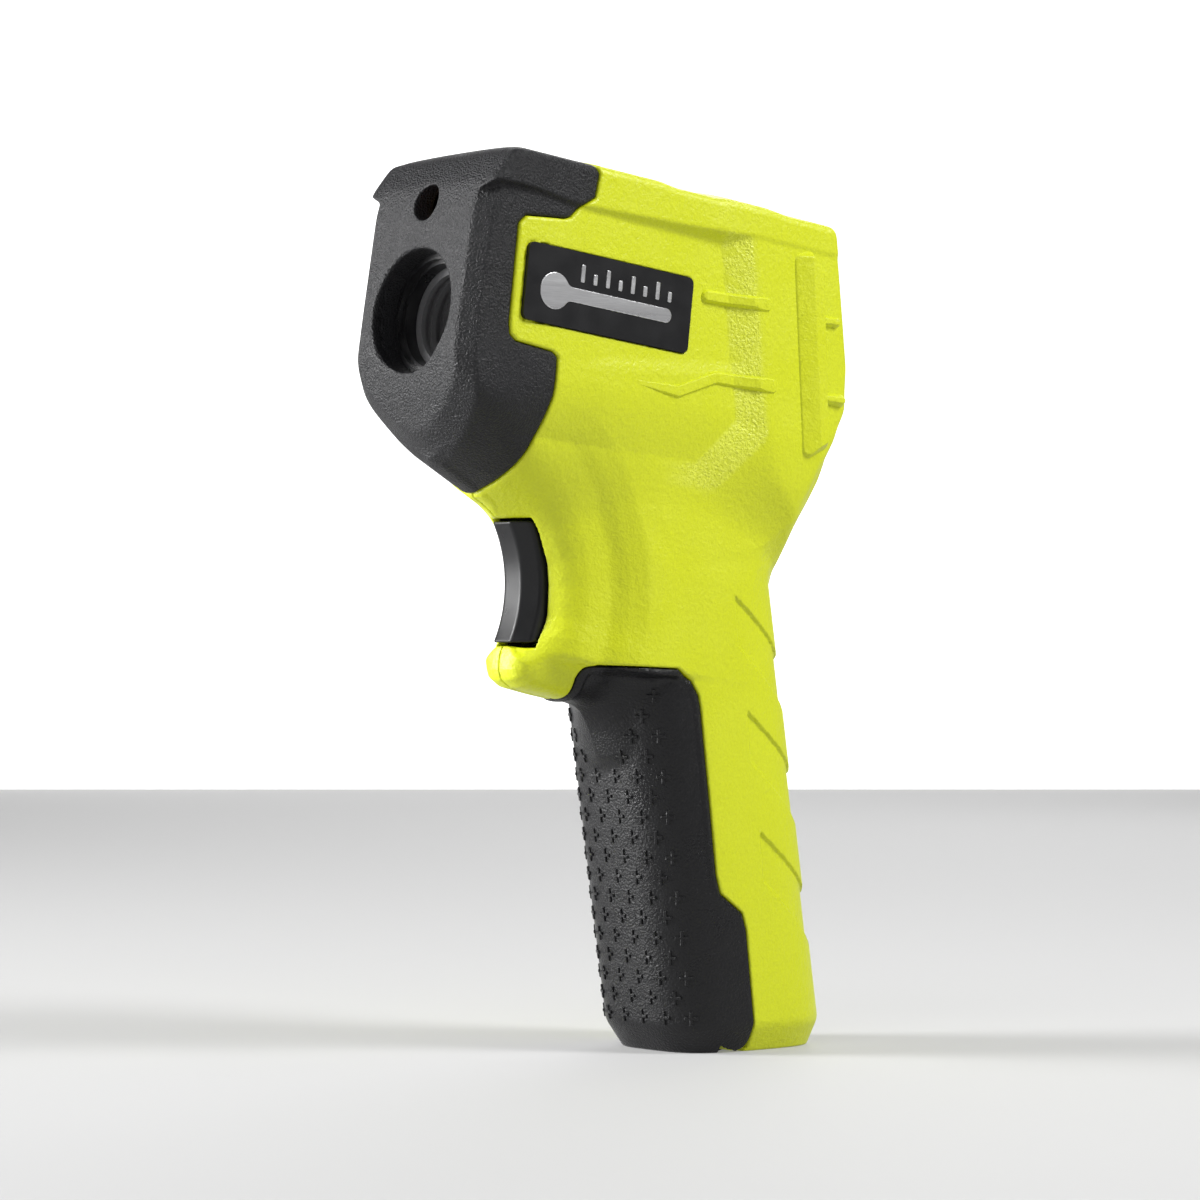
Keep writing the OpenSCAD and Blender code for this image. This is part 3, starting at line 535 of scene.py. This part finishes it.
def battery_door(x, y, z):
    """The dark front of the grip, with the knuckle that it turns on."""
    form = outer(x, y, z)
    edge = door_region(y, z)
    rim = DOOR_RIM * ramp(RIM_HALF - np.abs(edge + RIM_INSET), 0, 0.6) * ramp(z, 20, 30)
    body = np.maximum(form - rim, -(form + WALL))
    body = smooth_max(body, edge + DOOR_GAP, 0.45)
    body = np.maximum(body, door_corner(y, z, KNUCKLE_R))
    leaf = np.maximum(slab(y, DOOR_AXIS[0] - LEAF_REACH, DOOR_AXIS[0]),
                      slab(z, LEAF_LOW, LEAF_HIGH))
    knuckle = np.maximum(np.minimum(rod(y, z, DOOR_AXIS, KNUCKLE_R), leaf),
                         np.abs(x) - KNUCKLE_HALF)
    body = np.minimum(body, knuckle)
    bore = np.maximum(rod(y, z, DOOR_AXIS, PIN_BORE), np.abs(x) - PIN_BORE_HALF)
    body = np.maximum(body, -bore)
    ear_room = np.maximum(slab(np.abs(x), EAR_ROOM_NEAR, EAR_ROOM_FAR),
                          np.maximum(slab(y, DOOR_AXIS[0] - 3.1, 2), slab(z, -1, 8)))
    return np.maximum(body, -ear_room)


TRIGGER_SIDE = [(-50.2, 75.4), (-42, 75.4), (-39.6, 79.5), (-39.6, 92), (-42.5, 97.3),
                (-49.8, 97.2), (-56, 92), (-56, 80)]


def trigger(x, y, z):
    """The trigger, with a fork at its top for the pin and its spring."""
    ax = np.abs(x)
    reach, facet = trigger_face(x, y, z)
    body = smooth_max(smooth_max(reach, facet, 0.3), ax - TRIGGER_HALF, 0.5)
    body = smooth_max(body, outline(TRIGGER_SIDE, y, z, 0.8), 0.5)
    body = np.maximum(body, -rod(y, z, TRIGGER_AXIS, PIN_BORE))
    block = np.maximum(slab(y, *FORK_Y), slab(z, *FORK_Z))
    room = np.maximum(np.minimum(rod(y, z, TRIGGER_AXIS, FORK_R), block), ax - FORK_HALF)
    return np.maximum(body, -room)


# ---- meshing ----

def surface_net(values, low, step):
    """Vertices and quads of the zero surface of a grid of values."""
    inside = values < 0
    shape = np.array(values.shape) - 1
    offsets = list(itertools.product((0, 1), repeat=3))

    def corner(array, offset):
        return array[tuple(slice(o, o + n) for o, n in zip(offset, shape))]

    count = sum(corner(inside, o).astype(np.int8) for o in offsets)
    active = (count > 0) & (count < 8)
    cells = np.argwhere(active)
    index = np.full(active.shape, -1, np.int32)
    index[active] = np.arange(len(cells))
    samples = {o: corner(values, o)[active] for o in offsets}
    total = np.zeros((len(cells), 3))
    hits = np.zeros(len(cells))
    for a in offsets:
        for axis in range(3):
            if a[axis]:
                continue
            b = tuple(1 if k == axis else a[k] for k in range(3))
            va, vb = samples[a], samples[b]
            cut = (va < 0) != (vb < 0)
            part = np.where(cut, va / np.where(cut, va - vb, 1), 0)
            place = np.array(a, float) + part[:, None] * (np.array(b) - np.array(a))
            total += np.where(cut[:, None], place, 0)
            hits += cut
    vertices = np.array(low) + (cells + total / hits[:, None]) * step
    quads = []
    for axis in range(3):
        near = [slice(None)] * 3
        far = [slice(None)] * 3
        near[axis] = slice(0, -1)
        far[axis] = slice(1, None)
        first, second = inside[tuple(near)], inside[tuple(far)]
        p, q = (axis + 1) % 3, (axis + 2) % 3
        edges = np.argwhere(first != second)
        keep = (edges[:, p] > 0) & (edges[:, q] > 0)
        keep &= (edges[:, p] < values.shape[p] - 1) & (edges[:, q] < values.shape[q] - 1)
        edges = edges[keep]
        ring = []
        for dp, dq in ((-1, -1), (0, -1), (0, 0), (-1, 0)):
            cell = edges.copy()
            cell[:, p] += dp
            cell[:, q] += dq
            ring.append(index[tuple(cell.T)])
        faces = np.stack(ring, 1)
        rising = ~first[tuple(edges.T)]
        faces[rising] = faces[rising][:, ::-1]
        quads.append(faces)
    return vertices, np.concatenate(quads)


def gradient(field, points, reach=0.03):
    """The field's slope at each point."""
    x, y, z = points.T
    return np.stack([
        field(x + reach, y, z) - field(x - reach, y, z),
        field(x, y + reach, z) - field(x, y - reach, z),
        field(x, y, z + reach) - field(x, y, z - reach)], 1) / (2 * reach)


def settle(field, points, limit, rounds):
    """Moves points onto the field's zero surface, each round by no more than limit."""
    for _ in range(rounds):
        slope = gradient(field, points)
        size = np.maximum((slope * slope).sum(1), 0.2)
        move = -(field(*points.T) / size)[:, None] * slope
        length = np.linalg.norm(move, axis=1)
        move *= np.minimum(1, limit / np.maximum(length, 1e-9))[:, None]
        points = points + move
    return points


def moulded(name, field, low, high, step, faces, body, nodes, material, mirror=False,
            mask=None):
    """A piece made from a field: meshed, thinned to about the given faces and smoothed."""
    axes = [np.arange(a, b + step, step) for a, b in zip(low, high)]
    x, y, z = np.meshgrid(*axes, indexing="ij", sparse=True)
    values = np.broadcast_to(field(x, y, z), [len(a) for a in axes]).astype(np.float32)
    points, quads = surface_net(values, low, step)
    points = settle(field, points, step * 0.5, 2)
    mesh = bpy.data.meshes.new(name)
    mesh.from_pydata(points.tolist(), [], quads.tolist())
    mesh.update()
    piece = bpy.data.objects.new(name, mesh)
    bpy.context.scene.collection.objects.link(piece)
    thin = piece.modifiers.new("thin", "DECIMATE")
    thin.ratio = min(1.0, faces / (2 * len(quads)))
    depsgraph = bpy.context.evaluated_depsgraph_get()
    final = bpy.data.meshes.new_from_object(piece.evaluated_get(depsgraph))
    piece.modifiers.clear()
    piece.data = final
    bpy.data.meshes.remove(mesh)
    final.name = name
    count = len(final.vertices)
    points = np.zeros(count * 3, np.float32)
    final.vertices.foreach_get("co", points)
    points = settle(field, points.reshape(-1, 3).astype(float), step * 0.3, 2)
    normals = gradient(field, points, 0.06)
    normals /= np.maximum(np.linalg.norm(normals, axis=1), 1e-9)[:, None]
    if mirror:
        points = points * (-1, 1, 1)
        normals = normals * (-1, 1, 1)
        final.flip_normals()
    final.vertices.foreach_set("co", (points * MM).astype(np.float32).ravel())
    # The mask marks the bevel for its coarser grain and for its painted paler colour, which
    # stands in for light falling on it.
    if mask:
        sand_and_painted_light = final.attributes.new("sand_and_painted_light", "FLOAT", "POINT")
        sand_and_painted_light.data.foreach_set("value", mask(*(points * ((-1, 1, 1) if mirror else 1)).T))
    final.update()
    final.shade_smooth()
    final.normals_split_custom_set_from_vertices(normals.tolist())
    final.materials.clear()
    final.materials.append(material)
    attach(piece, body)
    if nodes:
        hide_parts(*nodes)
    print(name, len(final.polygons), "faces")
    return piece


def grip_spot(arc, z):
    """The place on the grip's front at height z, arc millimetres round from its middle."""
    x = np.linspace(0, GRIP_A, 400)
    depth = GRIP_B / math.cos(GRIP_RAKE) * np.maximum(1 - (x / GRIP_A) ** GRIP_POWER, 0) ** (
        1 / GRIP_POWER)
    run = np.concatenate([[0], np.cumsum(np.hypot(np.diff(x), np.diff(depth)))])
    across = np.interp(abs(arc), run, x) * np.sign(arc)
    return np.array([across, GRIP_CENTRE_Y - z * math.tan(GRIP_RAKE) - np.interp(
        abs(arc), run, depth), z])


def cross_ring(half_arm, half_width):
    """The twelve corners of a plus sign."""
    a, b = half_arm, half_width
    quarter = [(b, b), (b, a), (-b, a)]
    turned = []
    for _ in range(4):
        turned += quarter
        quarter = [(-q, p) for p, q in quarter]
    return turned


def cross_grid(name, body, material):
    """Small raised plus signs over the grip's front, in one piece."""
    points, faces = [], []
    for row in range(CROSS_ROWS):
        z = CROSS_TOP_Z - row * CROSS_ROW_STEP
        arcs = [(k + 0.5 * (row % 2 == 0)) * CROSS_PITCH for k in range(-3, 3 + row % 2)]
        for arc in arcs:
            if abs(arc) > CROSS_REACH:
                continue
            on_grip = grip_spot(arc, z)
            spot = settle(outer, on_grip[None, :], 0.5, 4)[0]
            if np.linalg.norm(spot - on_grip) > 0.7:
                continue
            normal = Vector(gradient(outer, spot[None, :])[0]).normalized()
            right = Vector((0, 0, 1)).cross(normal).normalized()
            up = normal.cross(right)
            first = len(points)
            for height, grow in ((-0.3, 0.0), (CROSS_RISE - 0.12, 0.0), (CROSS_RISE, -0.14)):
                for p, q in cross_ring(CROSS_ARM + grow, CROSS_WIDTH / 2 + grow):
                    points.append((Vector(spot) + right * p + up * q + normal * height) * MM)
            for level in (0, 12):
                for k in range(12):
                    j = (k + 1) % 12
                    faces.append((first + level + k, first + level + j,
                                  first + level + 12 + j, first + level + 12 + k))
            faces.append([first + 24 + k for k in range(12)])
            faces.append([first + k for k in reversed(range(12))])
    mesh = bpy.data.meshes.new(name)
    mesh.from_pydata([tuple(p) for p in points], [], faces)
    mesh.validate()
    mesh.materials.append(material)
    piece = bpy.data.objects.new(name, mesh)
    bpy.context.scene.collection.objects.link(piece)
    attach(piece, body)
    print(name, len(faces), "faces")


def badge_mark(x, y, z):
    """A plain thermometer lying on the badge: a bulb, a stem and a row of scale marks."""
    u, w = barrel(y, z)
    du, dw = u - BADGE["u"], w - BADGE["w"]
    bulb = np.hypot(du - BULB_U, dw - MARK_AXIS_W) - BULB_R
    stem = plate(du - STEM_U, dw - MARK_AXIS_W, STEM_LENGTH, STEM_WIDTH, STEM_WIDTH / 2)
    mark = smooth_min(bulb, stem, 0.8)
    for k in range(TICKS):
        tall = TICK_HEIGHTS[k % 2]
        tick = plate(du - TICK_U - TICK_PITCH * k, dw - TICK_W - tall / 2, TICK_WIDTH, tall, 0.2)
        mark = np.minimum(mark, tick)
    return smooth_max(mark, slab(x, BADGE_FACE - 0.2, BADGE_FACE + MARK_RISE), 0.08)


# ---- procedural materials ----

def shader(name, color, roughness, coat=0.0, sheen=0.0, metallic=0.0):
    """A new material and its tools: the node tree and its principled shader."""
    material = bpy.data.materials.new(name)
    material.use_nodes = True
    tree = material.node_tree
    principled = tree.nodes["Principled BSDF"]
    principled.inputs["Base Color"].default_value = (*color, 1)
    principled.inputs["Roughness"].default_value = roughness
    principled.inputs["Metallic"].default_value = metallic
    principled.inputs["Coat Weight"].default_value = coat
    principled.inputs["Sheen Weight"].default_value = sheen
    return material, tree, principled


def add(tree, kind, **settings):
    """A new node, with its inputs and settings given by name."""
    node = tree.nodes.new(kind)
    for key, value in settings.items():
        if key in node.inputs:
            node.inputs[key].default_value = value
        else:
            setattr(node, key, value)
    return node


def noise(tree, place, size_mm, detail=2.0, rough=0.5):
    """Noise whose lumps are about size_mm across."""
    node = add(tree, "ShaderNodeTexNoise", Scale=1 / (size_mm * MM), Detail=detail,
               Roughness=rough)
    tree.links.new(place, node.inputs["Vector"])
    return node.outputs["Fac"]


def stretched(tree, place, scale):
    """Coordinates scaled by axis, which draws noise out into streaks."""
    node = add(tree, "ShaderNodeMapping")
    node.inputs["Scale"].default_value = scale
    tree.links.new(place, node.inputs["Vector"])
    return node.outputs["Vector"]


def spread(tree, value, low, high, to_low, to_high):
    """A value carried from one range to another."""
    node = add(tree, "ShaderNodeMapRange")
    for key, number in (("From Min", low), ("From Max", high), ("To Min", to_low),
                        ("To Max", to_high)):
        node.inputs[key].default_value = number
    tree.links.new(value, node.inputs["Value"])
    return node.outputs["Result"]


def bump(tree, height, strength, depth_mm, after=None):
    node = add(tree, "ShaderNodeBump", Strength=strength, Distance=depth_mm * MM)
    tree.links.new(height, node.inputs["Height"])
    if after is not None:
        tree.links.new(after, node.inputs["Normal"])
    return node.outputs["Normal"]


def mix_colors(tree, factor, dark, light):
    node = add(tree, "ShaderNodeMix", data_type="RGBA")
    node.inputs[6].default_value = (*dark, 1)
    node.inputs[7].default_value = (*light, 1)
    tree.links.new(factor, node.inputs[0])
    return node.outputs[2]


def object_place(tree):
    return add(tree, "ShaderNodeTexCoord").outputs["Object"]


def grained(name, color, roughness, grain_mm, depth_mm, strength=0.6, tone=0.12,
            fleck=None, detail=2.5, sheen=0.0, coat=0.0, metallic=0.0, stretch=None,
            gloss_spread=0.08, second=None):
    """A moulded surface: fine grain, slight mottling of colour and of gloss."""
    material, tree, principled = shader(name, color, roughness, coat, sheen, metallic)
    place = object_place(tree)
    if stretch:
        place = stretched(tree, place, stretch)
    fine = noise(tree, place, grain_mm, detail, 0.55)
    broad = noise(tree, place, grain_mm * 22, 3.0)
    dark = tuple(c * (1 - tone) for c in color)
    light = tuple(min(1, c * (1 + tone)) for c in color)
    shade = mix_colors(tree, spread(tree, fine, 0.3, 0.7, 0.0, 1.0), dark, light)
    tree.links.new(shade, principled.inputs["Base Color"])
    gloss = spread(tree, broad, 0.3, 0.7, roughness - gloss_spread, roughness + gloss_spread)
    tree.links.new(gloss, principled.inputs["Roughness"])
    normal = bump(tree, fine, strength, depth_mm)
    if second:
        coarse = noise(tree, place, second[0], 2.0, 0.5)
        normal = bump(tree, coarse, strength, second[1], normal)
    tree.links.new(normal, principled.inputs["Normal"])
    return material


def lime_plastic():
    """Fine-grained lime plastic, sandier where the mesh says so, and painted paler there as light
    on the bevel.
    """
    material = grained("lime_plastic", (0.62, 0.68, 0.007), 0.44, 0.42, 0.12, 0.7, 0.05,
                       second=(1.0, 0.22))
    tree = material.node_tree
    principled = tree.nodes["Principled BSDF"]
    sand_and_painted_light = add(tree, "ShaderNodeAttribute", attribute_name="sand_and_painted_light").outputs["Fac"]
    sand = noise(tree, object_place(tree), 0.55, 2.0, 0.6)
    # Painted highlight: this paler lime lightens the bevel's forward-facing slope, which the
    # lamps leave darker. The sand noise in it is the bevel's real coarse grain.
    pale = mix_colors(tree, spread(tree, sand, 0.35, 0.65, 0, 1), (0.62, 0.68, 0.02),
                      (0.74, 0.80, 0.06))
    color = principled.inputs["Base Color"].links[0].from_socket
    blend = add(tree, "ShaderNodeMix", data_type="RGBA")
    tree.links.new(sand_and_painted_light, blend.inputs[0])
    tree.links.new(color, blend.inputs[6])
    tree.links.new(pale, blend.inputs[7])
    tree.links.new(blend.outputs[2], principled.inputs["Base Color"])
    normal = principled.inputs["Normal"].links[0].from_socket
    rough = bump(tree, sand, 1.0, 0.35, normal)
    normal_mix = add(tree, "ShaderNodeMix", data_type="VECTOR")
    tree.links.new(sand_and_painted_light, normal_mix.inputs[0])
    tree.links.new(normal, normal_mix.inputs[4])
    tree.links.new(rough, normal_mix.inputs[5])
    tree.links.new(normal_mix.outputs[1], principled.inputs["Normal"])
    return material


LIME_GRAIN = lime_plastic()
NOSE_BLACK = grained("nose_sand", (0.014, 0.014, 0.0155), 0.42, 0.42, 0.40, 1.0, 0.25)
GRIP_BLACK = grained("grip_leather", (0.008, 0.008, 0.009), 0.31, 0.45, 0.20, 1.0, 0.15)
TRIGGER_BLACK = grained("trigger_satin", (0.009, 0.009, 0.010), 0.34, 0.25, 0.02, 0.4, 0.1)
BADGE_BLACK = grained("badge_black", (0.008, 0.008, 0.009), 0.42, 0.20, 0.012, 0.4, 0.1)
BORE_BLACK = grained("bore_black", (0.010, 0.010, 0.011), 0.30, 0.30, 0.015, 0.4, 0.1)
SILVER = grained("brushed_silver", (0.62, 0.62, 0.63), 0.32, 0.15, 0.02, 0.5, 0.08,
                 metallic=0.85, stretch=(1, 0.05, 1))
BAFFLE_GREY = grained("baffle_grey", (0.16, 0.16, 0.165), 0.38, 0.4, 0.02, 0.4, 0.06)
BEZEL_BLACK = grained("bezel_satin", (0.030, 0.031, 0.034), 0.42, 0.30, 0.06, 0.6, 0.15)
for black in (NOSE_BLACK, GRIP_BLACK, TRIGGER_BLACK, BADGE_BLACK, BEZEL_BLACK):
    black.node_tree.nodes["Principled BSDF"].inputs["Specular IOR Level"].default_value = 0.30
KEY_RUBBER = grained("key_rubber", (0.10, 0.10, 0.105), 0.62, 0.25, 0.03, 0.5, 0.1, sheen=0.2)


# ---- the moulded pieces ----

moulded("left_cover", lambda x, y, z: shell(x, y, z, False), (-0.6, -62, -1),
        (23.4, 21.5, 170), 0.45, 95000, HOUSING, ["shell_left"], LIME_GRAIN,
        mask=bevel_grain_and_painted_light)
moulded("right_cover", lambda x, y, z: shell(x, y, z, True), (-0.6, -62, -1),
        (23.4, 21.5, 170), 0.45, 95000, HOUSING, ["shell_right"],
        LIME_GRAIN, mirror=True, mask=bevel_grain_and_painted_light)
for side, mirrored in (("left", False), ("right", True)):
    moulded(side + "_relief", relief, (17.2, -36, 108), (22.6, 18.5, 153), 0.22, 16000,
            HOUSING, [], LIME_GRAIN, mirror=mirrored)
moulded("nose_cover", nose_cap, (-21, -74, 98), (21, -40, 167), 0.42, 80000, HOUSING,
        ["nose_cap"], NOSE_BLACK)
moulded("grip_cover", battery_door, (-17, -42, -1), (17, 0, 73), 0.42, 70000, "door",
        ["battery_door"], GRIP_BLACK)
moulded("trigger_lever", trigger, (-6, -52, 74.5), (6, -38, 98.5), 0.25, 26000, "trigger",
        ["trigger"], TRIGGER_BLACK)

cross_grid("grip_crosses", "door", GRIP_BLACK)
for side, mirrored in (("left", False), ("right", True)):
    moulded(side + "_badge_mark", badge_mark, (BADGE_FACE - 0.6, -60, 128),
            (BADGE_FACE + 0.6, -20, 147), 0.16, 14000, HOUSING, [], SILVER,
            mirror=mirrored)

LOOKS = {
    BADGE_BLACK: ["side_badge_left", "side_badge_right"],
    BORE_BLACK: ["aperture_ring", "optics_tube"],
    BAFFLE_GREY: ["ir_baffle"],
    BEZEL_BLACK: ["rear_bezel"],
    KEY_RUBBER: ["button_laser", "button_units", "button_mode"],
    grained("ir_window", (0.62, 0.60, 0.52), 0.22, 0.5, 0.004, 0.3, 0.04, coat=0.6):
        ["ir_lens"],
    grained("bright_steel", (0.56, 0.56, 0.58), 0.30, 0.12, 0.006, 0.4, 0.06, metallic=1.0,
            stretch=(0.1, 1, 1)):
        ["thermopile_sensor", "sensor_board_screws", "main_board_screws", "trigger_pin",
         "trigger_spring", "door_hinge_pin", "battery_terminals", "shell_screws"],
    grained("turned_brass", (0.68, 0.48, 0.20), 0.28, 0.12, 0.006, 0.4, 0.06, metallic=1.0,
            stretch=(1, 0.1, 1)):
        ["laser_module"],
    grained("red_glass", (0.30, 0.02, 0.015), 0.06, 0.6, 0.002, 0.2, 0.05, coat=1.0,
            gloss_spread=0.03):
        ["laser_lens"],
    grained("green_board", (0.012, 0.13, 0.045), 0.30, 0.35, 0.02, 0.5, 0.22, coat=0.4):
        ["sensor_board", "main_board"],
    grained("moulded_black", (0.016, 0.016, 0.018), 0.45, 0.20, 0.02, 0.5, 0.2):
        ["processor_chip", "buzzer", "key_switches", "trigger_switch", "battery_snap"],
    grained("capacitor_tan", (0.30, 0.19, 0.08), 0.40, 0.25, 0.01, 0.4, 0.2):
        ["board_capacitors"],
    grained("flat_cable", (0.66, 0.60, 0.46), 0.36, 0.3, 0.01, 0.4, 0.1, stretch=(0.1, 1, 1)):
        ["sensor_ribbon"],
    grained("red_lead", (0.50, 0.02, 0.012), 0.38, 0.3, 0.01, 0.4, 0.1):
        ["laser_leads", "battery_lead_red"],
    grained("black_lead", (0.012, 0.012, 0.012), 0.38, 0.3, 0.01, 0.4, 0.1):
        ["battery_lead_black"],
    grained("white_lead", (0.72, 0.72, 0.70), 0.40, 0.3, 0.01, 0.4, 0.06):
        ["switch_leads"],
    grained("white_frame", (0.74, 0.74, 0.71), 0.42, 0.3, 0.02, 0.4, 0.05):
        ["lcd_backlight", "lcd_frame"],
    grained("display_glass", (0.30, 0.35, 0.27), 0.16, 0.8, 0.002, 0.2, 0.04, coat=0.8,
            gloss_spread=0.03):
        ["lcd_panel"],
    grained("striped_rubber", (0.62, 0.26, 0.34), 0.6, 0.2, 0.01, 0.4, 0.2,
            stretch=(1, 0.1, 0.1)):
        ["zebra_strips"],
    grained("dark_foam", (0.035, 0.035, 0.038), 0.85, 0.6, 0.15, 0.9, 0.3, sheen=0.3):
        ["battery_pad"],
    grained("painted_can", (0.10, 0.10, 0.11), 0.30, 0.25, 0.01, 0.4, 0.15, metallic=0.6,
            coat=0.4):
        ["battery_9v"],
}
window, window_tree, window_shader = shader("clear_window", (0.92, 0.96, 0.95), 0.05, 0.3)
window_shader.inputs["Transmission Weight"].default_value = 1.0
window_shader.inputs["IOR"].default_value = 1.2
smears = noise(window_tree, object_place(window_tree), 6.0, 3.0)
window_tree.links.new(spread(window_tree, smears, 0.3, 0.7, 0.03, 0.12),
                      window_shader.inputs["Roughness"])
LOOKS[window] = ["display_window"]

for material, nodes in LOOKS.items():
    for node in nodes:
        piece = frame["nodes"][node]
        piece.data.materials.clear()
        piece.data.materials.append(material)


# ---- stage: floor, lights and camera ----

TARGET = Vector((0, -0.0269, 0.0832))
BACKDROP_DISTANCE, BACKDROP_HALF, BACKDROP_HEIGHT = 1.3, 0.42, 0.8
FLOOR_HALF = 3.0
VIEW_AZIMUTH, VIEW_ELEVATION, VIEW_DISTANCE = math.radians(50.5), math.radians(-0.6), 0.734


def floor():
    """A wide pale floor at the foot of the grip."""
    size = FLOOR_HALF
    mesh = bpy.data.meshes.new("floor")
    mesh.from_pydata([(-size, -size, 0), (size, -size, 0), (size, size, 0), (-size, size, 0)],
                     [], [(0, 1, 2, 3)])
    piece = bpy.data.objects.new("floor", mesh)
    bpy.context.scene.collection.objects.link(piece)
    material, _, principled = shader("pale_floor", (0.34, 0.34, 0.34), 0.8)
    principled.inputs["Emission Color"].default_value = (1, 1, 1, 1)
    principled.inputs["Emission Strength"].default_value = 0.20
    mesh.materials.append(material)


def backdrop():
    """A white screen that stands behind the object as the camera sees it."""
    ahead = Vector((-math.sin(VIEW_AZIMUTH), math.cos(VIEW_AZIMUTH), 0))
    side = Vector((math.cos(VIEW_AZIMUTH), math.sin(VIEW_AZIMUTH), 0))
    foot = ahead * BACKDROP_DISTANCE
    up = Vector((0, 0, BACKDROP_HEIGHT))
    corners = [foot - side * BACKDROP_HALF, foot + side * BACKDROP_HALF]
    corners += [corners[1] + up, corners[0] + up]
    mesh = bpy.data.meshes.new("backdrop")
    mesh.from_pydata([tuple(c) for c in corners], [], [(0, 1, 2, 3)])
    piece = bpy.data.objects.new("backdrop", mesh)
    bpy.context.scene.collection.objects.link(piece)
    material, _, principled = shader("white_screen", (0.8, 0.8, 0.8), 0.9)
    principled.inputs["Emission Color"].default_value = (1, 1, 1, 1)
    principled.inputs["Emission Strength"].default_value = 0.85
    mesh.materials.append(material)


def softbox(name, direction, distance, size, watts):
    """A rectangular lamp that looks at the object from a direction."""
    data = bpy.data.lights.new(name, "AREA")
    data.shape = "RECTANGLE"
    data.size, data.size_y = size
    data.energy = watts
    lamp = bpy.data.objects.new(name, data)
    bpy.context.scene.collection.objects.link(lamp)
    lamp.location = TARGET + Vector(direction).normalized() * distance
    lamp.rotation_euler = (TARGET - lamp.location).to_track_quat("-Z", "Y").to_euler()


floor()
backdrop()
softbox("key_light", (-0.60, -0.75, 0.30), 0.9, (0.30, 0.8), 18)
softbox("side_light", (0.64, 0.36, 0.68), 1.0, (0.28, 0.40), 9.6)
softbox("fill_light", (0.55, -0.80, 0.15), 1.1, (0.5, 0.5), 0.5)
softbox("top_light", (0.25, -0.55, 0.85), 1.0, (0.4, 0.4), 1.6)
softbox("back_light", (-0.5, 0.8, 0.5), 1.1, (0.6, 0.6), 3)

world = bpy.data.worlds.new("studio")
world.use_nodes = True
sky_tree = world.node_tree
sky_height = add(sky_tree, "ShaderNodeSeparateXYZ")
sky_tree.links.new(add(sky_tree, "ShaderNodeTexCoord").outputs["Generated"],
                   sky_height.inputs[0])
sky_band = spread(sky_tree, sky_height.outputs["Z"], 0.17, 0.42, 0.0, 1.0)
sky = mix_colors(sky_tree, sky_band, (1, 1, 1), (0.12, 0.12, 0.12))
sky_tree.links.new(sky, sky_tree.nodes["Background"].inputs["Color"])
sky_tree.nodes["Background"].inputs["Strength"].default_value = 0.30
bpy.context.scene.world = world
bpy.context.scene.view_settings.view_transform = "Standard"

view_from = TARGET + VIEW_DISTANCE * Vector((
    math.sin(VIEW_AZIMUTH) * math.cos(VIEW_ELEVATION),
    -math.cos(VIEW_AZIMUTH) * math.cos(VIEW_ELEVATION), math.sin(VIEW_ELEVATION)))
camera = bpy.data.objects.new("camera", bpy.data.cameras.new("camera"))
bpy.context.scene.collection.objects.link(camera)
camera.data.lens = 120
camera.data.sensor_width = 36
camera.data.clip_start = 0.01
camera.location = view_from
camera.rotation_euler = (TARGET - view_from).to_track_quat("-Z", "Y").to_euler()
bpy.context.scene.camera = camera
